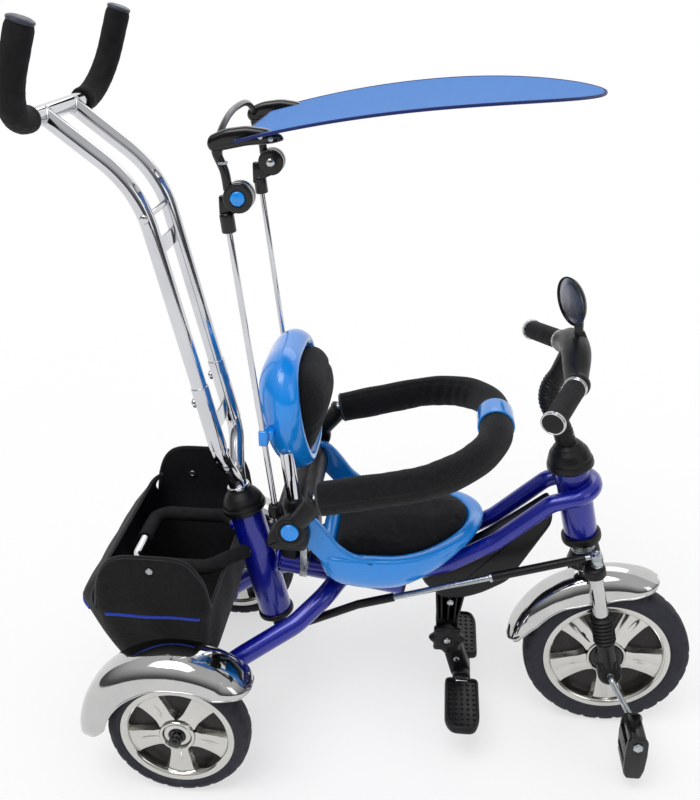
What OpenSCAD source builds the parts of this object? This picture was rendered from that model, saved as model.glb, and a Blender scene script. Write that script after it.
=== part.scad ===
// Toddler push-along trike with a parent push pole, safety ring, canopy and basket.
// Axes: +X forward, +Y to the rider's left, +Z up. The floor is z = 0.
// Places below are measured from the floor point under the rear axle; place() moves
// that point so the origin sits at the middle of the whole trike.

/* [Wheels] */
// Distance between the rear and front axles
wheelbase = 620; // [560:5:760]
// Outside diameter of the front tyre
front_tyre_d = 250; // [205:5:300]
// Width of the front tyre
front_tyre_w = 46; // [36:1:56]
// Diameter where the front tyre seats on its rim
front_rim_d = 190; // [150:2:196]
// Outside diameter of each rear tyre
rear_tyre_d = 205; // [168:5:246]
// Width of each rear tyre
rear_tyre_w = 44; // [36:1:54]
// Diameter where each rear tyre seats on its rim
rear_rim_d = 164; // [130:2:166]
// Distance between the middle planes of the rear wheels
rear_track = 412; // [390:2:500]
// Number of spokes in each rim
spoke_count = 5; // [4:1:7]
// Room between the front tyre and its mudguard's crown
front_guard_gap = 28; // [12:1:32]
// Room between each rear tyre and its mudguard's crown
rear_guard_gap = 39; // [20:1:48]

/* [Steering] */
// Lean of the steering axis and of the push pole column, from vertical
lean = 13; // [8:1:18]
// Distance of the front axle ahead of the steering axis
fork_offset = 9; // [0:1:20]
// Distance from the middle plane to each fork leg
fork_half = 50; // [46:1:60]
// Diameter of each chrome fork leg
leg_d = 22; // [16:1:22]
// Length of the head tube
head_tube_len = 110; // [90:2:132]
// Diameter of the head tube
head_tube_d = 48; // [40:1:56]
// Diameter of the steerer shaft and of the push pole shaft
shaft_d = 22; // [16:1:24]
// Height of the handlebar above the head tube
bar_rise = 182; // [150:2:218]
// Sideways reach of each handlebar grip's outer end
grip_reach = 166; // [150:2:200]
// Diameter of each handlebar grip
grip_d = 28; // [24:1:32]
// Sideways distance of the steering link from each steering axis
link_side = 50; // [46:1:60]
// Forward distance of the steering link's pins from each steering axis
link_ahead = 14; // [8:1:20]

/* [Cranks] */
// Crank radius
crank_r = 48; // [40:1:56]
// Angle of the right crank below horizontal
crank_angle = 55; // [0:5:90]
// Diameter of the bent crank axle
crank_d = 10; // [8:0.5:12]
// Width of each pedal
pedal_w = 54; // [45:1:66]
// Length of each pedal
pedal_len = 74; // [62:1:80]
// Thickness of each pedal
pedal_t = 26; // [20:1:32]

/* [Frame] */
// Distance of the column axis ahead of the rear axle, at the height column_z
column_x = 109; // [90:1:130]
// Height of the steering lever's level on the column axis
column_z = 150; // [130:1:170]
// Length of the blue column tube
column_len = 184; // [160:2:220]
// Diameter of the column tube
column_d = 50; // [44:1:60]
// Diameter of the spine tube under the seat
spine_d = 40; // [34:1:46]
// Height of the spine where it leaves the column
spine_z = 262; // [250:1:270]
// Diameter of the U-shaped main tube
main_d = 25; // [20:1:28]
// Diameter of each rear stay
stay_d = 30; // [26:1:36]
// Diameter of the rear axle rod
axle_d = 12; // [10:0.5:14]

/* [Seat] */
// Height of the seat shell's underside
seat_z = 299; // [296:1:320]
// Depth of the seat bucket
seat_depth = 53; // [45:1:64]
// Width of the seat over its rim
seat_w = 256; // [230:2:300]
// Length of the seat over its rim
seat_len = 232; // [200:2:250]
// Width of the backrest
back_w = 204; // [180:2:206]
// Height of the backrest
back_h = 172; // [160:2:206]
// Depth of the backrest shell
back_t = 54; // [46:1:62]
// Diameter of each back post
post_d = 19; // [15:1:22]

/* [Safety ring] */
// Sideways distance of each ring pivot
ring_pivot_y = 150; // [146:1:170]
// Height of the ring's pivots
ring_pivot_z = 403; // [395:1:420]
// Reach of the ring ahead of its pivots
ring_reach = 271; // [250:1:320]
// Rise of the ring's front above its pivots
ring_rise = 107; // [80:1:120]
// Outside diameter of the padded sleeve
sleeve_d = 44; // [36:1:50]
// Diameter of the steel bar inside the sleeve
ring_bar_d = 18; // [14:1:20]

/* [Canopy] */
// Height of the canopy hinge
hinge_z = 842; // [760:2:900]
// Length of the canopy cloth
canopy_len = 427; // [360:5:510]
// Width of the canopy cloth
canopy_w = 300; // [240:5:340]
// Radius of the canopy's lengthwise curve
canopy_curve = 1350; // [900:10:2000]
// Diameter of the canopy rods and hoop
rod_d = 8; // [6:0.5:9]

/* [Push pole] */
// Distance from the middle plane to each pole tube
pole_half = 50; // [46:1:64]
// Outside diameter of the lower pole tubes
pole_d = 25; // [22:0.5:28]
// Outside diameter of the sliding upper tubes
upper_d = 22; // [16:0.5:22]
// Height along the column axis of the lower tubes' top ends
joint_t = 425; // [400:1:460]
// Height along the column axis of the rearward bend
bend_t = 702; // [640:1:800]
// Height along the column axis of the cross bar
bar_t = 814; // [760:1:940]
// Distance of the cross bar behind the column axis
bar_back = 84; // [60:1:110]
// Sideways reach of the grip prongs
prong_half = 166; // [160:1:200]
// Diameter of the foam grips
foam_d = 33; // [28:1:38]
// Length that the upper tubes can slide down
slide_len = 50; // [20:1:60]

/* [Basket] */
// Width of the basket at its top
basket_w = 334; // [280:2:336]
// Distance of the basket's rear top edge behind the rear axle
basket_back = 158; // [130:1:165]
// Height of the basket's rear top edge
basket_rear_z = 276; // [255:1:300]
// Height of the basket's side tops
basket_side_z = 358; // [320:1:370]
// Thickness of the basket's fabric walls
basket_wall = 5; // [4:0.5:8]
// Diameter of the basket rack tube
rack_d = 16; // [12:1:18]

/* [Footrest] */
// Distance of the footrest pivot ahead of the rear axle
foot_x = 376; // [360:1:390]
// Height of the footrest pivot
foot_z = 150; // [140:1:170]
// Height of the pads' top faces
pad_z = 78; // [60:1:90]
// Sideways reach of each foot pad
pad_reach = 140; // [110:1:170]
// Front-to-back width of each foot pad
pad_w = 52; // [40:1:64]

/* [Fits] */
// Gap left at welded and seated joints
weld_gap = 0.1; // [0.05:0.05:0.2]
// Radial running clearance of shafts, pins and slides
run_gap = 0.05; // [0.02:0.01:0.09]
// Gap round soft pieces and between moving neighbours
soft_gap = 0.4; // [0.3:0.1:0.6]

/* [Hidden] */
$fn = 48;
hull_fn = 32;
// Sides of a bent tube, and the most that it turns between its rings
tube_sides = 20;
bend_step = 15;

// Paint, plastic and metal colours
frame_blue = [0.06, 0.09, 0.72];
seat_blue = [0.16, 0.52, 0.92];
cloth_blue = [0.38, 0.58, 0.86];
black_plastic = [0.06, 0.06, 0.07];
black_cloth = [0.09, 0.09, 0.10];
chrome_grey = [0.82, 0.82, 0.83];
zinc_grey = [0.66, 0.70, 0.72];
tyre_grey = [0.16, 0.16, 0.20];

front_r = front_tyre_d / 2;
rear_r = rear_tyre_d / 2;
shaft_r = shaft_d / 2;
bush_wall = 9;

// The steering axis: its foot is the point of the axis nearest the front axle
head_x = wheelbase - fork_offset * cos(lean);
head_foot_z = front_r - fork_offset * sin(lean);
// Stations along the steering axis, measured from that foot
guard_r = front_r + front_guard_gap;
crown_t = guard_r + 17;
crown_h = 20;
ring_t = crown_t + crown_h;
ring_h = 16;
// Height of the steering link's front eye above the crown
link_up = 18;
lower_cap_t = ring_t + ring_h + 1;
lower_cap_h = 9;
head_t = lower_cap_t + lower_cap_h;
head_top_t = head_t + head_tube_len;
upper_cap_h = 4;
dome_t = head_top_t + upper_cap_h + 1;
dome_h = 34;
bar_t_front = head_top_t + bar_rise;

// The whole trike's box sets the origin
foam_r = foam_d / 2;
rearmost_x = column_x - bar_back * cos(lean) - bar_t * sin(lean) - foam_r;
frontmost_x = wheelbase + front_r;
middle_x = (rearmost_x + frontmost_x) / 2;

// A point given in the steering or column frame, as a place on the trike
function leaned(x0, z0, p) = [
    x0 + p[0] * cos(lean) - p[2] * sin(lean), p[1], z0 + p[0] * sin(lean) + p[2] * cos(lean)
];
function at_head(p) = leaned(head_x, head_foot_z, p);
function at_column(p) = leaned(column_x, column_z, p);
function unit(v) = v / norm(v);
function flip_y(p) = [p[0], -p[1], p[2]];
function mirrored(path) = [for (p = path) flip_y(p)];
function turn_between(a, b) = acos(min(1, max(-1, a * b)));

module place() translate([-middle_x, 0, 0]) children();
module on_head() place() translate([head_x, 0, head_foot_z]) rotate([0, -lean, 0]) children();
module on_column() place() translate([column_x, 0, column_z]) rotate([0, -lean, 0]) children();
module both_sides() for (s = [0, 1]) mirror([0, s, 0]) children();

// A straight round bar from p to q
module bar(p, q, r, bore = 0) {
    d = q - p;
    translate(p)
        rotate([0, acos(d[2] / norm(d)), atan2(d[1], d[0])])
            difference() {
                cylinder(r = r, h = norm(d));
                if (bore > 0) translate([0, 0, -1]) cylinder(r = bore, h = norm(d) + 2);
            }
}

// Stations round one corner of a path: each is a place and a direction
function corner_stations(p, d0, d1, bend) =
    let (
        turn = turn_between(d0, d1),
        n = unit(cross(d0, d1)),
        inward = cross(n, d0),
        c = p - d0 * bend * tan(turn / 2) + inward * bend,
        steps = max(2, ceil(turn / bend_step))
    )
        [
            for (k = [0 : steps])
                let (a = turn * k / steps)
                    [c + bend * (sin(a) * d0 - cos(a) * inward), cos(a) * d0 + sin(a) * inward]
        ];
function path_stations(path, bend) =
    let (last = len(path) - 1, dirs = [for (i = [0 : last - 1]) unit(path[i + 1] - path[i])])
        concat(
            [[path[0], dirs[0]]],
            [for (i = [1 : 1 : last - 1]) each corner_stations(path[i], dirs[i - 1], dirs[i], bend)],
            [[path[last], dirs[last - 1]]]
        );
// Cross-section directions carried along the stations without twist
function first_normal(t) = unit(cross(t, abs(t[2]) < 0.9 ? [0, 0, 1] : [1, 0, 0]));
function carried_normals(st, i = 0, done = []) =
    i == len(st) ? done : let (
        before = i == 0 ? first_normal(st[0][1]) : done[i - 1],
        t = st[i][1],
        n = unit(before - (before * t) * t)
    ) carried_normals(st, i + 1, concat(done, [n]));

// A round tube along straight legs joined by bends of one radius, solid or with a bore
module bent_tube(path, bend, r, bore = 0) {
    st = path_stations(path, bend);
    normals = carried_normals(st);
    last = len(st) - 1;
    radii = bore > 0 ? [r, bore] : [r];
    points = [
        for (q = radii, i = [0 : last], j = [0 : tube_sides - 1])
            let (a = 360 * j / tube_sides, n = normals[i])
                st[i][0] + q * (cos(a) * n + sin(a) * cross(st[i][1], n))
    ];
    inner = (last + 1) * tube_sides;
    function at(i, j) = i * tube_sides + j % tube_sides;
    skin = [
        for (i = [0 : last - 1], j = [0 : tube_sides - 1])
            each [[at(i, j), at(i + 1, j + 1), at(i, j + 1)], [at(i, j), at(i + 1, j), at(i + 1, j + 1)]]
    ];
    bore_skin = [for (f = skin) [for (v = [2 : -1 : 0]) inner + f[v]]];
    rim = [
        for (e = [0, last], j = [0 : tube_sides - 1])
            let (a = at(e, j), b = at(e, j + 1), c = inner + b, d = inner + a)
                each e == 0 ? [[a, b, c], [a, c, d]] : [[a, c, b], [a, d, c]]
    ];
    discs = [
        [for (j = [0 : tube_sides - 1]) at(0, j)], [for (j = [tube_sides - 1 : -1 : 0]) at(last, j)]
    ];
    polyhedron(points, bore > 0 ? concat(skin, bore_skin, rim) : concat(skin, discs));
}

// A cylinder along Y between two sideways places
module cross_bar(x, z, y0, y1, r) translate([x, y0, z]) rotate([-90, 0, 0]) cylinder(r = r, h = y1 - y0);

// A slab whose outline in the XZ plane is given, between two sideways places
module side_slab(y0, y1, outline)
    translate([0, y1, 0]) rotate([90, 0, 0]) linear_extrude(height = y1 - y0) polygon(outline);

// Frame

spine_drop = 0.167;
spine_end_x = 305;
function spine_at(x) = [x, 0, spine_z - spine_drop * (x - column_x)];
module spine_solid(r) bar(spine_at(column_x - 20), spine_at(spine_end_x), r);

column_base_t = 14;
column_top_t = column_base_t + column_len;
module column_solid(r)
    translate([column_x, 0, column_z]) rotate([0, -lean, 0])
        translate([0, 0, column_base_t]) cylinder(r = r, h = column_len);

module head_solid(r)
    translate([head_x, 0, head_foot_z]) rotate([0, -lean, 0])
        translate([0, 0, head_t]) cylinder(r = r, h = head_tube_len);

module head_tube() color(frame_blue) on_head()
    translate([0, 0, head_t]) difference() {
        cylinder(d = head_tube_d, h = head_tube_len);
        translate([0, 0, -1]) cylinder(r = shaft_r + bush_wall, h = head_tube_len + 2);
    }

// The main tube's legs start on the spine, run under the seat and rise to the head tube
main_r = main_d / 2;
main_half = head_tube_d / 2 + main_r + weld_gap;
nose_t = head_top_t - 27;
nose_corner = at_head([main_half - 9, -main_half, nose_t]);
neck = at_head([-35, -main_half, nose_t - 4]);
rise_slope = 0.93;
knee_x = neck[0] - 73;
function main_rise(x) = neck[2] - rise_slope * (neck[0] - x);
main_leg = [
    [238, -14, spine_at(238)[2] + 4], [272, -main_half, 257], [372, -main_half, 293],
    [knee_x, -main_half, main_rise(knee_x)], neck
];
function back_to_front(path) = [for (i = [len(path) - 1 : -1 : 0]) path[i]];
main_path = concat(
    main_leg, [nose_corner], [flip_y(nose_corner)], back_to_front(mirrored(main_leg))
);
module main_tube() color(frame_blue) place() difference() {
    bent_tube(main_path, main_half - 2, main_r);
    spine_solid(spine_d / 2 + weld_gap);
    head_solid(head_tube_d / 2 + weld_gap);
}

module spine_tube() color(frame_blue) place() difference() {
    spine_solid(spine_d / 2);
    column_solid(column_d / 2 + weld_gap);
    translate([column_x - 120, -100, 150]) cube([100, 200, 200]);
}

module rear_column() color(frame_blue) on_column() translate([0, 0, column_base_t]) difference() {
    cylinder(d = column_d, h = column_len);
    translate([0, 0, -1]) cylinder(r = shaft_r + bush_wall, h = column_len + 2);
}

// Each stay curves from the spine round and down to a sleeve on the rear axle
sleeve_r = 15;
sleeve_in = 108;
sleeve_out = rear_track / 2 - rear_tyre_w / 2 - 14;
stay_end_y = 126;
stay_path = [
    [214, -8, spine_at(214)[2]], [190, -54, 232], [150, -86, 203], [72, -116, rear_r + 58],
    [0, -stay_end_y, rear_r]
];
module rear_stays() color(frame_blue) place() both_sides() difference() {
    union() {
        bent_tube(stay_path, 70, stay_d / 2);
        cross_bar(0, rear_r, -sleeve_out, -sleeve_in, sleeve_r + 3);
    }
    spine_solid(spine_d / 2 + weld_gap);
    cross_bar(0, rear_r, -sleeve_out - 40, 0, axle_d / 2 + weld_gap);
    translate([130, 0, 150]) cube([120, 100, 150]);
}

axle_end = rear_track / 2 + rear_tyre_w / 2 + 2;
module rear_axle() color(zinc_grey) place() {
    cross_bar(0, rear_r, -axle_end, axle_end, axle_d / 2);
}

// Flanged plastic bushes in the head tube and in the column
module flanged_bush(z, flange_r, flange_h, up) translate([0, 0, z]) difference() {
    union() {
        translate([0, 0, up ? 0 : -flange_h]) cylinder(r = flange_r, h = flange_h);
        translate([0, 0, up ? -18 : 0]) cylinder(r = shaft_r + bush_wall - weld_gap, h = 18);
    }
    translate([0, 0, -40]) cylinder(r = shaft_r + run_gap, h = 80);
}
module bushes() color(black_plastic) {
    on_head() {
        flanged_bush(head_t, head_tube_d / 2 + 5, lower_cap_h - weld_gap, false);
        flanged_bush(head_top_t, head_tube_d / 2 + 2, upper_cap_h, true);
    }
    on_column() {
        flanged_bush(column_base_t, column_d / 2 + 3, 6, false);
        flanged_bush(column_top_t, column_d / 2 + 1, 3, true);
    }
}

// Fairing between the legs of the main tube
belly_half = main_half - main_r - soft_gap;
belly_low = [366, 217];
belly_outline = [
    [336, 244], belly_low, [424, 231], [knee_x + 80, main_rise(knee_x + 80) - 48],
    [knee_x + 76, main_rise(knee_x + 76) - 12], [knee_x - 2, main_rise(knee_x) - 6], [374, 284], [330, 262]
];
module belly_cover() color(black_plastic) place() side_slab(-belly_half, belly_half, belly_outline);

// Seat and back

seat_mid_x = 303;
seat_wall = 5;
rim_corner = 52;
rim_h = 12;
floor_corner = 40;
floor_in = 34;
// How much narrower the seat's front is on each side
seat_taper = 32;
// How far the seat's floor stops short of its front, where the frame rises
floor_short = 38;
// A rounded slab of the seat's plan, drawn in from the rim by inset and at the front by front too
module seat_slab(inset, corner, z, h, front = 0)
    for (x = [-1, 1], y = [-1, 1])
        translate([
            seat_mid_x + x * (seat_len / 2 - inset - corner - (x > 0 ? front : 0)),
            y * (seat_w / 2 - inset - corner - (x > 0 ? seat_taper : 0)), z
        ])
            cylinder(r = corner, h = h, $fn = hull_fn);
rim_z = seat_z + seat_depth;
wing_y = seat_w / 2 - 28;
wing_x = seat_mid_x - seat_len / 2 + 1;
wing_outline = [
    [wing_x, rim_z - 20], [wing_x, rim_z + 38], [wing_x + 6, rim_z + 50], [wing_x + 16, rim_z + 54],
    [wing_x + 28, rim_z + 50], [wing_x + 40, rim_z + 36], [wing_x + 52, rim_z + 16], [wing_x + 66, rim_z - 6]
];
module seat_shell() color(seat_blue) place() {
    difference() {
        hull() {
            seat_slab(floor_in, floor_corner, seat_z, 4, floor_short);
            seat_slab(0, rim_corner, rim_z - rim_h, rim_h);
        }
        hull() {
            seat_slab(floor_in + seat_wall, floor_corner - seat_wall, seat_z + seat_wall, 4, floor_short);
            seat_slab(seat_wall, rim_corner - seat_wall, rim_z - rim_h + 4, rim_h);
        }
    }
    both_sides() side_slab(wing_y, wing_y + 10, wing_outline);
}

// A crowned pad on a rounded outline, drawn in along its sides, lying on z = 0;
// narrow is the share of its width lost at its +X end
pad_sides = 40;
pad_square = 0.72;
pad_pinch = 0.02;
pad_profile = [
    [0.55, 0], [0.66, 0.10], [0.82, 0.19], [0.96, 0.33], [1, 0.46], [0.97, 0.62], [0.88, 0.78], [0.7, 0.9],
    [0.44, 0.975], [0.18, 1]
];
function signed_power(v, e) = sign(v) * pow(abs(v), e);
function pad_ring(a, b, z, narrow) = [
    for (i = [0 : pad_sides - 1])
        let (
            t = 360 * i / pad_sides,
            u = signed_power(cos(t), pad_square),
            v = signed_power(sin(t), pad_square),
            k = 1 - pad_pinch * pow(cos(2 * t), 2)
        )
            [a * k * u, b * k * v * (1 - narrow * (1 + u) / 2), z]
];
module crowned_pad(a, b, h, narrow) {
    rings = len(pad_profile);
    points = concat(
        [for (p = pad_profile) each pad_ring(a * p[0], b * p[0], h * p[1], narrow)],
        [[0, 0, 0], [0, 0, h * 1.005]]
    );
    low = rings * pad_sides;
    skin = [
        for (r = [0 : rings - 2], i = [0 : pad_sides - 1])
            let (p = r * pad_sides + i, q = r * pad_sides + (i + 1) % pad_sides)
                each [[p, p + pad_sides, q + pad_sides], [p, q + pad_sides, q]]
    ];
    floor_fan = [for (i = [0 : pad_sides - 1]) [low, i, (i + 1) % pad_sides]];
    top = (rings - 1) * pad_sides;
    crown_fan = [for (i = [0 : pad_sides - 1]) [low + 1, top + (i + 1) % pad_sides, top + i]];
    polyhedron(points, concat(skin, floor_fan, crown_fan));
}

pad_half = seat_w / 2 - 22;
module seat_cushion() color(black_cloth) place()
    translate([seat_mid_x - 12, 0, seat_z + seat_wall + soft_gap])
        crowned_pad(seat_len / 2 - 36, pad_half, seat_depth + 8, seat_taper / pad_half);

back_lean = 7;
back_mid = [140, 0, 534];
back_corner = 62;
module on_back() place() translate(back_mid) rotate([0, -back_lean, 0]) children();
// A rounded upright slab of the back's outline, drawn in by inset
module back_slab(inset, corner, x, t)
    for (y = [-1, 1], z = [-1, 1])
        translate([x, y * (back_w / 2 - inset - corner), z * (back_h / 2 - inset - corner)])
            rotate([0, 90, 0]) cylinder(r = corner, h = t, $fn = hull_fn);
dish = 20;
module back_shell() color(seat_blue) difference() {
    union() {
        on_back() difference() {
            hull() {
                back_slab(26, back_corner - 16, -back_t / 2, 4);
                back_slab(0, back_corner, -4, back_t / 2 - 8);
                back_slab(8, back_corner - 6, back_t / 2 - 6, 6);
            }
            hull() {
                back_slab(20, back_corner - 18, back_t / 2 - dish, 4);
                back_slab(14, back_corner - 12, back_t / 2 - 1, 4);
            }
        }
        place() both_sides() hull() {
            bar(rod_at(clip_z - 8), rod_at(clip_z + 8), rod_d / 2 + 4, 0, $fn = hull_fn);
            translate(rod_at(clip_z) + [18, 10, -8]) cube([10, 6, 16]);
        }
    }
    place() both_sides() {
        bar(rod_foot, rod_top, rod_d / 2 + weld_gap);
        bar(post_foot, post_top, post_d / 2 + weld_gap);
    }
}

back_pad_h = 50;
module back_cushion() color(black_cloth) on_back()
    translate([back_t / 2 - dish + soft_gap, 0, 0]) rotate([0, 90, 0])
        crowned_pad(back_h / 2 - 22, back_w / 2 - 22, back_pad_h, 0);

// Posts of the backrest and rods of the canopy stand in the seat bracket
rod_half = 110;
rod_foot = [133, -rod_half, 392];
rod_top_z = hinge_z - 24;
rod_lean = 0.117;
function rod_at(z) = [rod_foot[0] - rod_lean * (z - rod_foot[2]), -rod_half, z];
rod_top = rod_at(rod_top_z);
clip_z = 523;
post_y = 84;
post_foot = [156, -post_y, 384];
post_top = [143, -post_y, 490];
module seat_uprights() color(chrome_grey) place() both_sides() {
    bar(rod_foot, rod_top, rod_d / 2);
    bar(post_foot, post_top, post_d / 2);
}

beam_z = 366;
tray_t = 11;
beam_top = ring_pivot_z + 3;
beam_half = ring_pivot_y - 15;
pivot_x = 156;
boss_r = 15;
button_r = 12.5;
button_depth = 8;
button_travel = 3;
ring_out = ring_pivot_y + 1;
module seat_bracket() color(black_plastic) place() difference() {
    union() {
        translate([118, -beam_half, beam_z]) cube([60, 2 * beam_half, beam_top - beam_z]);
        translate([119, -16, spine_z - 8]) cube([26, 32, beam_z - spine_z + 9]);
        translate([172, -48, seat_z - tray_t - weld_gap]) cube([134, 96, tray_t]);
        translate([165, -30, seat_z - tray_t - weld_gap]) cube([12, 60, beam_z - seat_z + tray_t + 1]);
        both_sides() {
            bar(rod_at(beam_top - 2), rod_at(beam_top + 16), rod_d / 2 + 5);
            bar(
                post_foot + [0, 0, 6],
                post_foot + unit(post_top - post_foot) * (beam_top + 12 - post_foot[2]),
                post_d / 2 + 4
            );
            cross_bar(pivot_x, ring_pivot_z, -ring_out, -beam_half + 1, boss_r);
        }
    }
    both_sides() {
        bar(rod_foot, rod_top, rod_d / 2 + weld_gap);
        bar(post_foot, post_top, post_d / 2 + weld_gap);
        cross_bar(pivot_x, ring_pivot_z, -ring_out - 1, -ring_out + button_depth, button_r + run_gap);
    }
    spine_solid(spine_d / 2 + weld_gap);
    dome_room();
}
// Room for the dome and the column beside the bracket
module dome_room() translate([column_x, 0, column_z]) rotate([0, -lean, 0])
    cylinder(r = column_d / 2 + 12, h = column_len + 60);

// Safety ring

sleeve_start = [pivot_x + 39, -ring_pivot_y + 7, ring_pivot_z + 50];
ring_front_x = pivot_x + ring_reach;
ring_slope = (ring_rise - 50) / (ring_reach - 39);
ring_half = 152;
ring_corner = [ring_front_x, -ring_half, sleeve_start[2] + ring_slope * (ring_front_x - sleeve_start[0])];
ring_bend = 122;
ring_dir = unit(ring_corner - sleeve_start);
ring_bar_from = sleeve_start - ring_dir * 7;
ring_path = [ring_bar_from, ring_corner, flip_y(ring_corner), flip_y(ring_bar_from)];
sleeve_from = sleeve_start + ring_dir * soft_gap;
sleeve_path = [sleeve_from, ring_corner, flip_y(ring_corner), flip_y(sleeve_from)];
socket_dir = unit(sleeve_start - [pivot_x, -ring_pivot_y + 7, ring_pivot_z]);
socket_in = beam_half + soft_gap;
socket_disc_r = 22;
module ring_sockets() color(black_plastic) place() both_sides() difference() {
    union() {
        cross_bar(pivot_x, ring_pivot_z, -ring_out, -socket_in, socket_disc_r);
        bar([pivot_x, -ring_pivot_y + 7, ring_pivot_z] + socket_dir * 14, sleeve_start + socket_dir * 3, 13);
    }
    cross_bar(pivot_x, ring_pivot_z, -ring_out - 8, -socket_in + 8, boss_r + run_gap);
    bar(ring_path[0], sleeve_start + ring_dir * 40, ring_bar_d / 2 + weld_gap);
    bar(sleeve_start, sleeve_start + ring_dir * 40, sleeve_d);
}
module ring_bar() color(chrome_grey) place() bent_tube(ring_path, ring_bend, ring_bar_d / 2);
module ring_sleeve() color(black_cloth) place()
    bent_tube(sleeve_path, ring_bend, sleeve_d / 2, ring_bar_d / 2 + soft_gap);
// A ribbed clip at the middle of the ring's front
clip_half = 18;
clip_wall = 3;
module ring_clip() color(seat_blue) place() difference() {
    union() {
        cross_bar(ring_front_x, ring_corner[2], -clip_half, clip_half, sleeve_d / 2 + clip_wall);
        for (i = [-2 : 2])
            cross_bar(ring_front_x, ring_corner[2], i * 7 - 1.5, i * 7 + 1.5, sleeve_d / 2 + clip_wall + 1);
    }
    cross_bar(ring_front_x, ring_corner[2], -clip_half - 1, clip_half + 1, sleeve_d / 2 + soft_gap);
}
module ring_button() {
    cross_bar(pivot_x, ring_pivot_z, -ring_out - 2, -ring_out + button_depth - button_travel - 0.5, button_r);
}
module ring_button_right() color(seat_blue) place() ring_button();
module ring_button_left() color(seat_blue) place() mirror([0, 1, 0]) ring_button();

// Canopy

hinge_x = rod_at(hinge_z)[0] + 20;
disc_r = 18;
ear_in = rod_half - 9;
ear_mid = rod_half + 2;
ear_out = rod_half + 15;
pin_r = 6;
cbutton_r = 9;
cbutton_depth = 5;
cbutton_travel = 2;
module canopy_knuckles() color(black_plastic) place() both_sides() difference() {
    union() {
        bar(rod_at(rod_top_z - 20), rod_at(rod_top_z + 4), rod_d / 2 + 5);
        side_slab(-ear_mid, -ear_in, [
            [rod_top[0] - 9, rod_top_z - 6], [hinge_x + 4, hinge_z - 16],
            [hinge_x, hinge_z], [rod_top[0] - 9, hinge_z]
        ]);
        cross_bar(hinge_x, hinge_z, -ear_mid, -ear_in, disc_r);
        cross_bar(hinge_x, hinge_z, -ear_out + cbutton_depth + 0.5, -ear_mid + 1, pin_r);
    }
    bar(rod_foot, rod_top, rod_d / 2 + weld_gap);
    translate([hinge_x - 60, -ear_out, hinge_z - 24]) cube([60 - disc_r - 1, ear_out - ear_mid, 60]);
}

clamp_z = hinge_z + 64;
clamp_x = hinge_x - 20;
clamp_y = rod_half + 9;
hoop_rise = 25;
hoop_bend = 26;
hoop_r = rod_d / 2;
module canopy_fittings() color(black_plastic) place() both_sides() difference() {
    union() {
        cross_bar(hinge_x, hinge_z, -ear_out, -ear_mid - soft_gap, disc_r);
        bar([hinge_x - 6, -clamp_y, hinge_z + 8], [clamp_x, -clamp_y, clamp_z - 4], 6.4);
        hull() {
            translate([clamp_x - 4, -clamp_y, clamp_z]) sphere(r = 9, $fn = hull_fn);
            translate([clamp_x + 34, -clamp_y - 2, clamp_z + 8]) sphere(r = 10, $fn = hull_fn);
            translate([clamp_x + 70, -clamp_y + 2, clamp_z + 4]) sphere(r = 5, $fn = hull_fn);
        }
    }
    cross_bar(hinge_x, hinge_z, -ear_out + cbutton_depth - 1, -ear_mid + 1, pin_r + run_gap);
    cross_bar(hinge_x, hinge_z, -ear_out - 1, -ear_out + cbutton_depth, cbutton_r + run_gap);
    bar(hoop_path[0], hoop_path[1], hoop_r + weld_gap);
    sheet_solid(soft_gap);
}
hoop_corner = [clamp_x, -clamp_y + 14, clamp_z + hoop_rise];
hoop_path = [
    [clamp_x - 3, -clamp_y, clamp_z], hoop_corner, flip_y(hoop_corner), [clamp_x - 3, clamp_y, clamp_z]
];
module canopy_hoop() color(black_plastic) place() bent_tube(hoop_path, hoop_bend, hoop_r);

// The cloth is one shallow arch, rounded in plan at its front
sheet_t = 3;
sheet_start = [clamp_x + 22, clamp_z + 2];
sheet_pitch = 6;
sheet_mid = sheet_start + canopy_len / 2 * [cos(sheet_pitch), sin(sheet_pitch)];
sheet_drop = sqrt(pow(canopy_curve, 2) - pow(canopy_len / 2, 2));
sheet_centre = sheet_mid + sheet_drop * [sin(sheet_pitch), -cos(sheet_pitch)];
// Half width of the cloth at a share t of its length: it swells from the clamps and rounds off in front
sheet_widest = 0.42;
sheet_rear_share = 0.9;
sheet_steps = 24;
function sheet_half(t) = canopy_w / 2 * (
    t < sheet_widest
        ? sheet_rear_share + (1 - sheet_rear_share) * sin(90 * t / sheet_widest)
        : sqrt(1 - pow((t - sheet_widest) / (1 - sheet_widest), 2.6))
);
module sheet_solid(grow) intersection() {
    translate([sheet_centre[0], 0, sheet_centre[1]]) rotate([90, 0, 0])
        difference() {
            cylinder(r = canopy_curve + sheet_t + grow, h = canopy_w + 4, center = true, $fn = 180);
            cylinder(r = canopy_curve - grow, h = canopy_w + 6, center = true, $fn = 180);
        }
    translate([sheet_start[0], 0, hinge_z - 200]) linear_extrude(height = 600) sheet_plan(grow);
}
module sheet_plan(grow) {
    front = canopy_len * cos(sheet_pitch);
    edge = [
        for (i = [0 : sheet_steps])
            let (t = i / sheet_steps) [t * (front + 2 * grow) - grow, sheet_half(t) + grow]
    ];
    polygon(concat(edge, [for (i = [sheet_steps : -1 : 0]) [edge[i][0], -edge[i][1]]]));
}
module canopy_sheet() color(cloth_blue) place() sheet_solid(0);

module canopy_button()
    cross_bar(hinge_x, hinge_z, -ear_out - 3, -ear_out + cbutton_depth - cbutton_travel - 0.5, cbutton_r);
module canopy_button_right() color(seat_blue) place() canopy_button();
module canopy_button_left() color(seat_blue) place() mirror([0, 1, 0]) canopy_button();

// Rear mudguards, basket and its rack

guard_wall = 2;
rear_guard_r = rear_r + rear_guard_gap;
rear_guard_half = rear_tyre_w / 2 + 20;
guard_from = 40;
guard_to = 182;
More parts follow.
